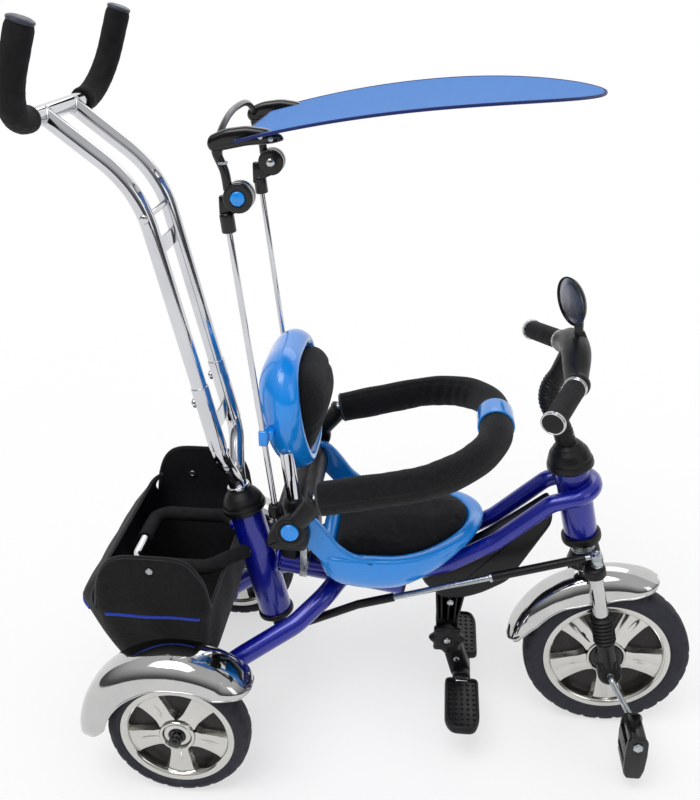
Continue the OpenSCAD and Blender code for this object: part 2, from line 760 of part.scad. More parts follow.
// A crowned arch of sheet metal round an axle along Y
module guard_arch(r, half, drop, from, to)
    rotate([90, -from, 0]) mirror([0, 0, 1])
        rotate_extrude(angle = to - from, $fn = 120) guard_section(r, half, drop);
module guard_section(r, half, drop) polygon(concat(
    [for (i = [-6 : 6]) [r - drop * pow(abs(i) / 6, 2.4), half * i / 6]],
    [
        for (i = [6 : -1 : -6])
            [r - guard_wall - drop * pow(abs(i) / 6, 2.4), (half - guard_wall * abs(i) / 6) * i / 6]
    ]
));
rear_guard_drop = 26;
guard_lug_y = rear_track / 2 - rear_guard_half;
module rear_mudguards() color(chrome_grey) place() both_sides() difference() {
    union() {
        translate([0, -rear_track / 2, rear_r])
            guard_arch(rear_guard_r, rear_guard_half, rear_guard_drop, guard_from, guard_to);
        translate([-9, -guard_lug_y - 3, rear_r + sleeve_r + 3 + weld_gap])
            cube([18, 3, rear_guard_r - rear_guard_drop - sleeve_r - 3]);
        cross_bar(0, rear_r, -guard_lug_y - 3, -guard_lug_y, sleeve_r + 9);
    }
    cross_bar(0, rear_r, -guard_lug_y - 4, -guard_lug_y + 1, sleeve_r + 3 + weld_gap);
}

basket_front = 42;
basket_floor = rear_r + 44;
floor_half = 104;
floor_back = 122;
// Rear corner left low beside the side panels
panel_in = 39;
// Outer shape of the basket: a flared tub whose sides rise above its back
module basket_tub(inset, floor_z, top_z) hull() {
    translate([-floor_back + inset, -floor_half + inset, floor_z])
        cube([floor_back + basket_front - 6 - 2 * inset, 2 * (floor_half - inset), 1]);
    translate([-basket_back + inset, -basket_w / 2 + inset, top_z])
        cube([basket_back + basket_front - 2 * inset, basket_w - 2 * inset, 1]);
}
module basket() color(black_cloth) place() difference() {
    union() {
        basket_tub(0, basket_floor, basket_rear_z - 1);
        both_sides() side_slab(-basket_w / 2, -basket_w / 2 + basket_wall, [
            [panel_in - basket_back, basket_rear_z - 2], [panel_in - basket_back + 6, basket_side_z - 22],
            [panel_in - basket_back + 26, basket_side_z], [basket_front - 28, basket_side_z],
            [basket_front - 8, basket_side_z - 22], [basket_front - 2, basket_rear_z - 2]
        ]);
    }
    basket_tub(basket_wall, basket_floor + basket_wall, basket_rear_z + 1);
}

rack_z = basket_rear_z + rack_d / 2 + soft_gap;
rack_half = 72;
rack_back = 96;
rack_foot = [column_x - (rack_z - column_z) * tan(lean), -10, rack_z];
rack_side = [
    rack_foot, [rack_foot[0] - 60, -rack_half, rack_z], [-rack_back, -rack_half, rack_z]
];
module basket_rack() color(chrome_grey) place() difference() {
    bent_tube(concat(rack_side, back_to_front(mirrored(rack_side))), 26, rack_d / 2);
    column_solid(column_d / 2 + weld_gap);
}

// Footrest

ear_half = 20;
lug_half = 12;
foot_bore = 5;
module belly_room() side_slab(-60, 60, [for (p = belly_outline) p + [0, -weld_gap]]);
module footrest_bracket() color(black_plastic) place() difference() {
    union() {
        side_slab(-ear_half, ear_half, [
            [foot_x - 18, foot_z + 26], [foot_x - 22, 232], [foot_x + 26, 236], [foot_x + 16, foot_z + 26]
        ]);
        side_slab(-ear_half, ear_half, [
            [foot_x - 18, foot_z], [foot_x - 18, foot_z + 30],
            [foot_x + 16, foot_z + 30], [foot_x + 16, foot_z]
        ]);
        cross_bar(foot_x - 1, foot_z, -ear_half, ear_half, 17);
    }
    belly_room();
    translate([foot_x - 40, -lug_half - soft_gap, foot_z - 40]) cube([80, 2 * (lug_half + soft_gap), 64]);
    cross_bar(foot_x, foot_z, -ear_half - 1, ear_half + 1, foot_bore + run_gap);
}
arm_end = [foot_x + 26, pad_z - 8];
module footrest() color(black_plastic) place() difference() {
    union() {
        cross_bar(foot_x, foot_z, -lug_half, lug_half, 16);
        side_slab(-lug_half, lug_half, [
            [foot_x - 14, foot_z - 4], [foot_x + 14, foot_z], [arm_end[0] + 16, arm_end[1] + 2],
            [arm_end[0] - 16, arm_end[1] - 6]
        ]);
        cross_bar(arm_end[0], arm_end[1], -26, 26, 14);
        both_sides() {
            translate([arm_end[0] - 11, -34, arm_end[1] - 8]) cube([22, 24, 14]);
            foot_pad();
        }
    }
    cross_bar(foot_x, foot_z, -lug_half - 1, lug_half + 1, foot_bore + run_gap);
}
pad_t = 13;
pad_corner = 9;
module foot_pad() {
    translate([arm_end[0], -(30 + pad_reach) / 2, pad_z - pad_t]) linear_extrude(height = pad_t)
        difference() {
            square([pad_w, pad_reach - 30], center = true);
            for (x = [-1, 1])
                translate([x * pad_w / 2, -(pad_reach - 30) / 2]) rotate(45)
                    square(pad_corner * 1.414, center = true);
        }
    translate([arm_end[0] - pad_w / 2 + 4, -pad_reach + 1, pad_z - 4]) cube([pad_w - 8, 9, 12]);
    for (x = [-1, 0, 1], y = [0 : 4])
        translate([arm_end[0] + x * pad_w / 3.4, -48 - y * (pad_reach - 70) / 4, pad_z - 1])
            cylinder(r = 3, h = 3);
}

// A star knob clamps the footrest's pivot on the right side
knob_r = 22;
knob_lobes = 7;
knob_in = ear_half + soft_gap;
module footrest_knob() color(black_plastic) place() difference() {
    union() {
        cross_bar(foot_x, foot_z, -knob_in - 16, -knob_in, knob_r - 4);
        for (i = [0 : knob_lobes - 1])
            translate([foot_x, 0, foot_z]) rotate([0, i * 360 / knob_lobes, 0])
                cross_bar(knob_r - 3, 0, -knob_in - 14, -knob_in - 2, 6);
    }
    cross_bar(foot_x, foot_z, -knob_in - 10, -knob_in + 1, foot_bore + run_gap);
}

// Front end

module steerer() color(zinc_grey) on_head() {
    translate([0, 0, crown_t + 2]) cylinder(r = shaft_r, h = dome_t + dome_h + 18 - crown_t - 2);
    translate([0, 0, ring_t + weld_gap]) cylinder(r = 17, h = 7);
    translate([0, 0, ring_t + 7]) cylinder(r = 15, h = ring_h - 7.5);
}

leg_r = leg_d / 2;
leg_x = fork_offset;
module fork_crown() color(black_plastic) on_head() difference() {
    union() {
        translate([-13, -fork_half, crown_t]) cube([leg_x + 26, 2 * fork_half, crown_h]);
        for (s = [-1, 1])
            translate([leg_x, s * fork_half, crown_t - 4]) cylinder(r = leg_r + 5, h = crown_h + 4);
        translate([link_ahead, -link_side, ring_t - 2]) cylinder(r = 8, h = 4);
        translate([link_ahead, -link_side, ring_t]) cylinder(r = link_pin_r, h = link_up + eye_h);
        translate([link_ahead, -link_side, ring_t])
            cylinder(r = link_seat_r, h = link_up - eye_h / 2 - soft_gap);
    }
    translate([0, 0, crown_t + 2 - weld_gap]) cylinder(r = shaft_r + weld_gap, h = crown_h);
    for (s = [-1, 1]) translate([leg_x, s * fork_half, crown_t - 5]) cylinder(r = leg_r + weld_gap, h = 19);
}

bellows_top = 105;
bellows_low = 58;
bellows_ribs = 6;
module fork_legs() color(chrome_grey) on_head() for (s = [-1, 1])
    translate([leg_x, s * fork_half, bellows_low + 8])
        cylinder(r = leg_r, h = crown_t + 14 - bellows_low - 8 - 0.2);

rib_step = (bellows_top - bellows_low) / bellows_ribs;
module fork_lowers() color(black_plastic) on_head() for (s = [-1, 1]) translate([leg_x, s * fork_half, 0])
    difference() {
        union() {
            translate([0, 0, 14]) cylinder(r = leg_r + 1, h = bellows_low - 10);
            translate([0, 0, bellows_low]) rotate_extrude() polygon(concat(
                [[leg_r - 1, 0]],
                [for (i = [0 : bellows_ribs - 1]) each [
                    [leg_r + 1.5, i * rib_step], [leg_r + 5, (i + 0.5) * rib_step]
                ]],
                [[leg_r + 2, bellows_top - bellows_low], [leg_r - 1, bellows_top - bellows_low]]
            ));
            rotate([90, 0, 0]) cylinder(r = 17, h = 2 * leg_r, center = true);
            translate([-leg_r - 1, -leg_r, 0]) cube([2 * leg_r + 2, 2 * leg_r, 20]);
        }
        translate([0, 0, bellows_low + 8 - weld_gap]) cylinder(r = leg_r + weld_gap, h = bellows_top);
        rotate([90, 0, 0]) cylinder(r = crank_d / 2 + run_gap, h = 60, center = true);
    }

guard_half = fork_half - leg_r - 6;
module front_mudguard() color(chrome_grey) on_head() {
    translate([fork_offset, 0, 0]) guard_arch(guard_r, guard_half, 14, 54, 158);
    difference() {
        translate([0, 0, guard_r - 8]) cylinder(r = 13, h = crown_t - guard_r + 8 - weld_gap);
        translate([fork_offset, 0, 0]) rotate([90, 0, 0])
            cylinder(r = guard_r - 1, h = 200, center = true, $fn = 120);
    }
}

// The stem curves back over its dome and forward again to the bar
stem_r = 15;
grip_in = 82;
stem_path = [
    [0, 0, dome_t + dome_h - 8], [-4, 0, dome_t + dome_h + 24],
    [-20, 0, bar_t_front - 62], [26, 0, bar_t_front - 4]
];
yoke_path = [
    [18, -grip_in - 1, bar_t_front - 20], [30, 0, bar_t_front + 6], [18, grip_in + 1, bar_t_front - 20]
];
grip_axis = unit([-39, -(grip_reach - grip_in), -6]);
grip_from = [18, -grip_in, bar_t_front - 20];
grip_len = (grip_reach - grip_in) / abs(grip_axis[1]);
module stem() color(black_plastic) on_head() difference() {
    union() {
        translate([0, 0, dome_t]) rotate_extrude() polygon([
            [0, 0], [head_tube_d / 2 + 9, 0], [head_tube_d / 2 + 8, 8], [head_tube_d / 2 + 1, 18],
            [20, dome_h - 3], [18, dome_h], [0, dome_h]
        ]);
        bent_tube(stem_path, 40, stem_r);
        bent_tube(yoke_path, 60, stem_r - 1);
        translate([26, 0, bar_t_front - 4]) sphere(r = stem_r + 3);
        translate([mirror_x, 0, bar_t_front + 2]) cylinder(r = 9, h = 12);
    }
    translate([0, 0, dome_t - 1]) cylinder(r = shaft_r + weld_gap, h = dome_h + 20);
    for (s = [-1, 1]) grip_axis_bar(s, -20, grip_len + 20, 8 + weld_gap);
    translate([mirror_x, 0, mirror_foot_t - weld_gap]) cylinder(r = 30, h = 60);
    for (s = [-1, 1]) grip_axis_bar(s, 0, 40, 40);
}
module grip_axis_bar(s, from, to, r) mirror([0, s > 0 ? 1 : 0, 0])
    bar(grip_from + grip_axis * from, grip_from + grip_axis * to, r);
module bar_ends() color(chrome_grey) on_head() for (s = [-1, 1]) {
    grip_axis_bar(s, -19, grip_len, 8);
    grip_axis_bar(s, weld_gap, 7, grip_d / 2 + 1);
    grip_axis_bar(s, grip_len - 7, grip_len, grip_d / 2 + 1);
}
module grips() color(black_plastic) on_head() for (s = [-1, 1]) difference() {
    grip_axis_bar(s, 7 + weld_gap, grip_len - 7 - weld_gap, grip_d / 2);
    grip_axis_bar(s, 0, grip_len, 8 + weld_gap);
}

// The mirror turns on a stalk that stands in the stem
mirror_x = 36;
mirror_foot_t = bar_t_front + 14;
mirror_mid_t = bar_t_front + 66;
mirror_r = 35;
mirror_lip = 2.5;
mirror_t = 12;
// The rest pose turns the glass towards the right side
mirror_turn = 36;
module on_mirror(t) on_head() translate([mirror_x, 0, t]) rotate(mirror_turn) children();
module mirror_shell() color(black_plastic) difference() {
    union() {
        on_mirror(mirror_foot_t) cylinder(r = 6, h = 24);
        on_mirror(mirror_mid_t) rotate([0, -90, 0])
            cylinder(r1 = mirror_r - 8, r2 = mirror_r, h = mirror_t, center = true);
    }
    on_mirror(mirror_mid_t) translate([-3, 0, 0]) rotate([0, -90, 0])
        cylinder(r = mirror_r - mirror_lip, h = 10);
}
module mirror_glass() color(zinc_grey) on_mirror(mirror_mid_t)
    translate([-3 - weld_gap, 0, 0]) rotate([0, -90, 0])
        cylinder(r = mirror_r - mirror_lip - weld_gap, h = 2.5);

// Wheels

rim_wall = 10;
web_t = 6;
module tyre(d, w, seat_d) rotate([90, 0, 0]) rotate_extrude($fn = 96) polygon([
    [seat_d / 2, -w / 2 + 3], [seat_d / 2 + 4, -w / 2], [d / 2 - 9, -w / 2], [d / 2 - 3, -w / 2 + 5],
    [d / 2, -w / 2 + 13], [d / 2, w / 2 - 13], [d / 2 - 3, w / 2 - 5], [d / 2 - 9, w / 2],
    [seat_d / 2 + 4, w / 2], [seat_d / 2, w / 2 - 3]
]);
front_first_spoke = -10;
rear_first_spoke = -18;
module rim(seat_d, w, hub_r, bore_r, first_spoke) rotate([90, 0, 0]) difference() {
    seat_r = seat_d / 2 - weld_gap;
    face = w / 2 - 5;
    union() {
        difference() {
            cylinder(r = seat_r, h = 2 * face + 2, center = true, $fn = 96);
            cylinder(r = seat_r - rim_wall, h = w, center = true, $fn = 96);
        }
        cylinder(r = hub_r, h = 2 * face, center = true);
        cylinder(r = seat_r - rim_wall / 2, h = web_t, center = true);
        for (i = [0 : spoke_count - 1]) rotate(first_spoke + i * 360 / spoke_count)
            linear_extrude(height = 2 * face - 6, center = true) polygon([
                [hub_r - 4, -hub_r * 0.42], [seat_r - rim_wall / 2, -seat_r * 0.2],
                [seat_r - rim_wall / 2, seat_r * 0.2], [hub_r - 4, hub_r * 0.42]
            ]);
    }
    cylinder(r = bore_r, h = w + 2, center = true);
    for (s = [-1, 1]) translate([0, 0, s * (face + 20 - 6)]) cylinder(r = hub_r - 5, h = 40, center = true);
}
module at_front_axle() place() translate([wheelbase, 0, front_r]) children();
module at_rear_wheel(s) place() translate([0, s * rear_track / 2, rear_r]) children();
front_hub_r = 30;
rear_hub_r = 26;

module front_tyre() color(tyre_grey) at_front_axle() tyre(front_tyre_d, front_tyre_w, front_rim_d);
module front_rim() color(chrome_grey) at_front_axle()
    rim(front_rim_d, front_tyre_w, front_hub_r, crank_d / 2 + weld_gap, front_first_spoke);
module front_hub_cover() color(black_plastic) at_front_axle() both_sides() difference() {
    cross_bar(0, 0, front_tyre_w / 2 - 11 + weld_gap, front_tyre_w / 2 - 3, front_hub_r - 5 - weld_gap);
    cross_bar(0, 0, 0, front_tyre_w, crank_d / 2 + weld_gap);
}

crank_root = fork_half + leg_r + 9;
pedal_in = crank_root + 30 + 6;
crank_tip = [crank_r * cos(crank_angle), 0, -crank_r * sin(crank_angle)];
journal_half = crank_root - 8;
spindle_end = pedal_in + pedal_w + 0.6;
crank_link = [
    crank_tip + [0, -pedal_in - 6, 0], crank_tip + [0, -pedal_in + 7, 0],
    [0, -crank_root, 0], [0, -journal_half + 8, 0]
];
module crank_axle() color(zinc_grey) at_front_axle() {
    cross_bar(0, 0, -journal_half, journal_half, crank_d / 2);
    for (s = [0, 1]) rotate([0, 0, 180 * s]) mirror([0, 0, s]) {
        bent_tube(crank_link, 8, crank_d / 2 - 0.5);
        translate(crank_tip) {
            cross_bar(0, 0, -spindle_end - 1, -pedal_in + 2, crank_d / 2);
            cross_bar(0, 0, -spindle_end - 4, -spindle_end, 8);
        }
    }
}
pedal_above = 14;
module pedal() difference() {
    union() {
        side_slab(-pedal_in - pedal_w, -pedal_in, [
            [-pedal_t / 2 + 3, pedal_above], [-pedal_t / 2, pedal_above - 8],
            [-pedal_t / 2, pedal_above - pedal_len + 10],
            [-pedal_t / 2 + 4, pedal_above - pedal_len], [pedal_t / 2 - 4, pedal_above - pedal_len],
            [pedal_t / 2, pedal_above - pedal_len + 10],
            [pedal_t / 2, pedal_above - 8], [pedal_t / 2 - 3, pedal_above]
        ]);
        for (i = [0 : 4])
            translate([
                -pedal_t / 2 - 3, -pedal_in - pedal_w + 5, pedal_above - 16 - i * (pedal_len - 24) / 5
            ])
                cube([pedal_t + 6, pedal_w - 10, 5]);
    }
    cross_bar(0, 0, -pedal_in - pedal_w - 1, -pedal_in + 1, crank_d / 2 + run_gap);
}
module pedal_right() color(black_plastic) at_front_axle() translate(crank_tip) pedal();
module pedal_left() color(black_plastic) at_front_axle() translate(-crank_tip) mirror([0, 1, 0]) pedal();

module rear_tyre(s) color(tyre_grey) at_rear_wheel(s) tyre(rear_tyre_d, rear_tyre_w, rear_rim_d);
module rear_rim(s) color(chrome_grey) at_rear_wheel(s)
    rim(rear_rim_d, rear_tyre_w, rear_hub_r, axle_d / 2 + run_gap, rear_first_spoke);
module rear_tyre_right() rear_tyre(-1);
module rear_tyre_left() rear_tyre(1);
module rear_rim_right() rear_rim(-1);
module rear_rim_left() rear_rim(1);

// Push pole

lever_t = -6;
lever_h = 9;
shaft_top = column_top_t + 30;
module pole_shaft() color(zinc_grey) on_column() {
    translate([0, 0, lever_t]) cylinder(r = shaft_r, h = shaft_top - lever_t);
    difference() {
        translate([0, 0, lever_t]) cylinder(r = shaft_r + 7, h = lever_h);
        translate([0, 0, lever_t - 1]) cylinder(r = shaft_r, h = lever_h + 2);
    }
    difference() {
        hull() {
            translate([0, 0, lever_t]) cylinder(r = 13, h = lever_h, $fn = hull_fn);
            translate([link_ahead, -link_side, lever_t]) cylinder(r = 8, h = lever_h, $fn = hull_fn);
        }
        translate([0, 0, lever_t - 1]) cylinder(r = shaft_r + 6, h = lever_h + 2);
    }
    translate([link_ahead, -link_side, lever_t + 1]) cylinder(r = link_pin_r, h = lever_h + eye_h + 3);
}

pole_x = 6;
pole_dome_t = column_top_t + 4;
pole_dome_h = 36;
ferrule_r = 26;
ferrule_h = 4;
tube_foot_y = 13;
module pole_dome() color(black_plastic) on_column() difference() {
    translate([0, 0, pole_dome_t]) rotate_extrude() polygon([
        [0, 0], [column_d / 2 + 8, 0], [column_d / 2 + 8, 5], [column_d / 2 + 3, 16],
        [ferrule_r + 2, pole_dome_h - 6], [ferrule_r, pole_dome_h], [0, pole_dome_h]
    ]);
    translate([0, 0, pole_dome_t - 1])
        cylinder(r = shaft_r + weld_gap, h = shaft_top - pole_dome_t + 1 + weld_gap);
}

spread_t = pole_dome_t + pole_dome_h + 82;
tube_foot_t = pole_dome_t + pole_dome_h + weld_gap;
socket_t = spread_t + 10;
lower_path = [
    [0, -tube_foot_y, tube_foot_t + 1.5], [1, -tube_foot_y - 1.5, tube_foot_t + 24],
    [pole_x, -pole_half, spread_t - 10], [pole_x, -pole_half, socket_t + 12]
];
button_t = joint_t - 22;
pole_r = pole_d / 2;
upper_r = upper_d / 2;
pole_button_r = 4;
insert_len = 44;
module pole_tubes() color(chrome_grey) on_column() difference() {
    union() {
        for (s = [0, 1]) mirror([0, s, 0]) {
            bent_tube(lower_path, 50, pole_r - 1);
            translate([pole_x, -pole_half, socket_t]) cylinder(r = pole_r, h = joint_t - socket_t);
            translate([pole_x - pole_r - 3, -pole_half, button_t]) rotate([0, 90, 0])
                cylinder(r = 7, h = pole_r);
        }
        translate([0, 0, tube_foot_t]) cylinder(r = ferrule_r, h = ferrule_h);
        translate([pole_x - 2, -pole_half, socket_t + 16]) cube([4, 2 * pole_half, 22]);
    }
    for (s = [0, 1]) mirror([0, s, 0]) {
        translate([pole_x, -pole_half, joint_t - insert_len - slide_len - 1])
            cylinder(r = upper_r + run_gap, h = insert_len + slide_len + 40);
        translate([pole_x - pole_r - 10, -pole_half, button_t]) rotate([0, 90, 0])
            cylinder(r = pole_button_r + run_gap, h = pole_r + 8);
    }
}
pole_button_travel = 1.5;
module pole_buttons() color(chrome_grey) on_column() for (s = [0, 1]) mirror([0, s, 0])
    translate([pole_x - pole_r - 5, -pole_half, button_t]) rotate([0, 90, 0])
        cylinder(r = pole_button_r, h = pole_r + 5 - upper_r - pole_button_travel - soft_gap);

slide_top = bend_t - 60;
upper_path = [
    [pole_x, -pole_half, slide_top - 12], [pole_x, -pole_half, bend_t], [-bar_back, -pole_half, bar_t]
];
prong_rise = 100;
prong_lean = 62;
prong_path = [
    [-bar_back + prong_lean, -prong_half, bar_t + prong_rise], [-bar_back, -prong_half, bar_t],
    [-bar_back, prong_half, bar_t], [-bar_back + prong_lean, prong_half, bar_t + prong_rise]
];
prong_bend = 70;
upper_bend = 150;
foam_from = 88;
handle_plate_t = bend_t - 92;
module handle_tubes() color(chrome_grey) on_column() {
    difference() {
        union() for (s = [0, 1]) mirror([0, s, 0]) {
            translate([pole_x, -pole_half, joint_t - insert_len])
                cylinder(r = upper_r, h = slide_top - joint_t + insert_len);
            bent_tube(upper_path, upper_bend, upper_r - 0.5);
        }
        translate([-bar_back, 0, bar_t]) rotate([90, 0, 0])
            cylinder(r = upper_r + weld_gap, h = 4 * pole_half, center = true);
    }
    bent_tube(prong_path, prong_bend, upper_r);
    translate([-bar_back, 0, bar_t]) rotate([90, 0, 0])
        cylinder(r = upper_r + weld_gap, h = 2 * (pole_half - upper_r - 4), center = true);
    difference() {
        union() {
            translate([pole_x - 2, -pole_half, handle_plate_t]) cube([4, 2 * pole_half, 20]);
            translate([pole_x, -pole_half, handle_plate_t + 54]) rotate([-90, 0, 0])
                cylinder(r = 4, h = 2 * pole_half);
        }
        for (s = [-1, 1]) translate([pole_x, s * pole_half, 0]) cylinder(r = upper_r + weld_gap, h = bend_t);
    }
}
prong_dir = unit(prong_path[0] - prong_path[1]);
module handle_foam() color(black_plastic) on_column() for (s = [0, 1]) mirror([0, s, 0]) {
    bent_tube(
        [prong_path[0], prong_path[1], [-bar_back, -foam_from, bar_t]], prong_bend, foam_r, upper_r + soft_gap
    );
    bar(prong_path[0] + prong_dir * weld_gap, prong_path[0] + prong_dir * 6, foam_r);
}

// Steering link between the fork and the column, a true parallelogram; the rod is bent down near its rear eye

eye_r = 9;
eye_h = 8;
link_pin_r = 4;
// Shoulder of the front pin that the eye rests on, clear of the rod's end
link_seat_r = 5.5;
link_front = at_head([link_ahead, -link_side, ring_t + link_up]);
link_rear = at_column([link_ahead, -link_side, lever_t + lever_h + soft_gap + eye_h / 2]);
link_knee = [240, -link_side, 219];
front_dir = unit(link_knee - link_front);
rear_dir = unit(link_rear - link_knee);
rod_r = 4.5;
rod_sleeve_r = 6.5;
rod_bend = 40;
front_sleeve = 150;
rear_sleeve = 56;
rod_front = link_front + front_dir * (eye_r - 2);
rod_rear = link_rear - rear_dir * (eye_r - 2);
module at_eye(p) translate(p) rotate([0, -lean, 0]) children();
module tie_rod() color(zinc_grey) place() {
    difference() {
        union() {
            for (p = [link_front, link_rear]) at_eye(p) cylinder(r = eye_r, h = eye_h, center = true);
            bent_tube([rod_front, link_knee, rod_rear], rod_bend, rod_r);
        }
        for (p = [link_front, link_rear]) at_eye(p) cylinder(r = link_pin_r + run_gap, h = 30, center = true);
    }
    bent_tube(
        [link_knee - front_dir * rear_sleeve, link_knee, rod_rear - rear_dir * 8],
        rod_bend, rod_sleeve_r, rod_r + soft_gap
    );
    bar(rod_front + front_dir * 8, link_front + front_dir * front_sleeve, rod_sleeve_r, rod_r + weld_gap);
}

// Clamp strap and bolts that show

strap_x = 149;
strap_w = 11;
strap_t = 3;
// the strap's side plates stand this far inside its ring's faces
strap_lip = 0.4;
strap_face = spine_d / 2 + strap_t - strap_lip;
module fasteners() color(chrome_grey) place() {
    bar(spine_at(strap_x), spine_at(strap_x + strap_w), spine_d / 2 + strap_t, spine_d / 2 + weld_gap);
    both_sides() {
        translate([strap_x, -strap_face, spine_z - 8])
            cube([strap_w, strap_t - 2 * strap_lip, beam_z - spine_z + 8 - weld_gap]);
        cross_bar(strap_x + strap_w / 2, spine_z + 62, -strap_face - 5, -strap_face - weld_gap, 5);
        cross_bar(0, rear_r, -axle_end - 7, -axle_end - weld_gap, axle_d / 2 + 3);
    }
    cross_bar(foot_x, foot_z, -knob_in - 9, ear_half + 1, foot_bore);
    cross_bar(foot_x, foot_z, ear_half + weld_gap, ear_half + 6, 9);
}

head_tube();
main_tube();
spine_tube();
rear_column();
rear_stays();
rear_axle();
bushes();
belly_cover();
seat_shell();
seat_cushion();
seat_bracket();
seat_uprights();
back_shell();
back_cushion();
canopy_knuckles();
rear_mudguards();
basket();
basket_rack();
footrest_bracket();
fasteners();
steerer();
fork_crown();
fork_legs();
fork_lowers();
front_mudguard();
stem();
bar_ends();
grips();
mirror_shell();
mirror_glass();
front_tyre();
front_rim();
front_hub_cover();
crank_axle();
pedal_right();
pedal_left();
rear_tyre_right();
rear_tyre_left();
rear_rim_right();
rear_rim_left();
pole_shaft();
pole_dome();
pole_tubes();
pole_buttons();
handle_tubes();
handle_foam();
tie_rod();
canopy_fittings();
canopy_hoop();
canopy_sheet();
canopy_button_right();
canopy_button_left();
ring_sockets();
ring_bar();
ring_sleeve();
ring_button_right();
ring_button_left();
footrest();
footrest_knob();
ring_clip();
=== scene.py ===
import math

import bpy
import numpy as np
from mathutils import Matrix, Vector


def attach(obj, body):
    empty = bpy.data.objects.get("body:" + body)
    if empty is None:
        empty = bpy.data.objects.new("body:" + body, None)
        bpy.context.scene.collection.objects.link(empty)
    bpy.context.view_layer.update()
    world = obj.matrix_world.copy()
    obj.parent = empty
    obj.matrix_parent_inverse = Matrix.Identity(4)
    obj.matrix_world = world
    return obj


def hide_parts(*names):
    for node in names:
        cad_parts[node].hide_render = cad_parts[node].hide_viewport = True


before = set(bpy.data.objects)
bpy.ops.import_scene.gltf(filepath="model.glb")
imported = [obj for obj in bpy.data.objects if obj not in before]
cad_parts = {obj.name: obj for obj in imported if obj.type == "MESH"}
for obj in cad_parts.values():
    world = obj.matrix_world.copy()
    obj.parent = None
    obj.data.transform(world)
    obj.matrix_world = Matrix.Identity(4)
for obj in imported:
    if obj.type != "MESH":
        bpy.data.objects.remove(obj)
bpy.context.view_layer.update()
scene = bpy.context.scene

# Places are in millimetres from the floor point under the rear axle, as in the CAD source.
MIDDLE_X = 286.271
LEAN = math.radians(13)
HEAD = np.array([611.231, 0, 122.975])
COLUMN = np.array([109.0, 0, 150.0])
FRONT_HUB = np.array([620.0, 0, 125.0])
REAR_R = 102.5
X, Y, Z = np.eye(3)
ORIGIN = np.zeros(3)
SIDES = (("right", -1), ("left", 1))


def arr(*p):
    return np.array(p, float)


def metres(p):
    return (np.asarray(p, float).reshape(-1, 3) - [MIDDLE_X, 0, 0]) / 1000


def leaned(foot, p, lean=LEAN):
    """A point, or rows of points, of a frame that stands at foot and leans back, as places on the trike."""
    p = np.asarray(p, float)
    c, s = math.cos(lean), math.sin(lean)
    return foot + np.stack([p[..., 0] * c - p[..., 2] * s, p[..., 1], p[..., 0] * s + p[..., 2] * c], -1)


def at_head(p):
    return leaned(HEAD, p)


def at_col(p):
    return leaned(COLUMN, p)


LEAN_X = leaned(ORIGIN, X)
LEAN_Z = leaned(ORIGIN, Z)


def unit(v):
    return np.asarray(v, float) / np.linalg.norm(v)


def flip(p):
    return np.asarray(p, float) * [1, -1, 1]


# Lines in 2-D: profiles of turned shapes are (radius, along) pairs, outlines of plates are (u, v) pairs.


def rect(u0, v0, u1, v1):
    return [(u0, v0), (u1, v0), (u1, v1), (u0, v1)]


def there_back(half, u=1, v=-1):
    """A line and its mirror image, which runs back."""
    return list(half) + [(u * p, v * q) for p, q in half[::-1]]


def soften(line, r, closed, n=4):
    """A line with its corners rounded."""
    line = [np.asarray(p, float) for p in line]
    out = []
    for i, p in enumerate(line):
        if not closed and i in (0, len(line) - 1):
            out.append(p)
            continue
        a, b = line[i - 1], line[(i + 1) % len(line)]
        da, db = np.linalg.norm(a - p), np.linalg.norm(b - p)
        k = min(r, 0.45 * da, 0.45 * db)
        s, e = p + (a - p) / da * k, p + (b - p) / db * k
        for t in np.linspace(0, 1, n):
            out.append((1 - t) ** 2 * s + 2 * t * (1 - t) * p + t * t * e)
    return np.array(out)


def inset(line, d):
    """A closed outline (counter-clockwise) moved inward by d."""
    line = np.asarray(line, float)

    def normals(v):
        return np.stack([-v[:, 1], v[:, 0]], 1) / np.maximum(np.linalg.norm(v, axis=1), 1e-9)[:, None]

    na = normals(line - np.roll(line, 1, 0))
    m = na + normals(np.roll(line, -1, 0) - line)
    m /= np.maximum(np.linalg.norm(m, axis=1), 1e-9)[:, None]
    return line + m * (d / np.maximum((m * na).sum(1), 0.4))[:, None]


def ccw(line):
    line = np.asarray(line, float)
    x, y = line[:, 0], line[:, 1]
    return line if (x * np.roll(y, -1) - y * np.roll(x, -1)).sum() > 0 else line[::-1]


def rounded(outline, corner, n):
    return ccw(soften(ccw(outline), corner, True, n))


def even(line, n):
    """n points evenly along a closed line."""
    p = np.vstack([line, line[:1]])
    d = np.concatenate([[0], np.cumsum(np.linalg.norm(np.diff(p, axis=0), axis=1))])
    s = np.arange(n) / n * d[-1]
    return np.column_stack([np.interp(s, d, p[:, 0]), np.interp(s, d, p[:, 1])])


def around(n):
    """n angles round a full turn."""
    return np.arange(n) * 2 * np.pi / n


# Shapes: each is (points, faces), with a third item where the parts of one piece have different materials.


def joined(*shapes):
    points, faces, kinds, n = [], [], [], 0
    for s in shapes:
        points.append(s[0])
        faces += [[i + n for i in f] for f in s[1]]
        kinds += [s[2] if len(s) > 2 else 0] * len(s[1])
        n += len(s[0])
    return np.vstack(points), faces, kinds


def mirrored(shape):
    return flip(shape[0]), [f[::-1] for f in shape[1]], *shape[2:]


def pairs(*shapes):
    """Each shape, followed by its mirror image on the other side of the trike."""
    return [s for shape in shapes for s in (shape, mirrored(shape))]


def kind(shape, k):
    """The shape with the piece's material number k."""
    return shape[0], shape[1], k


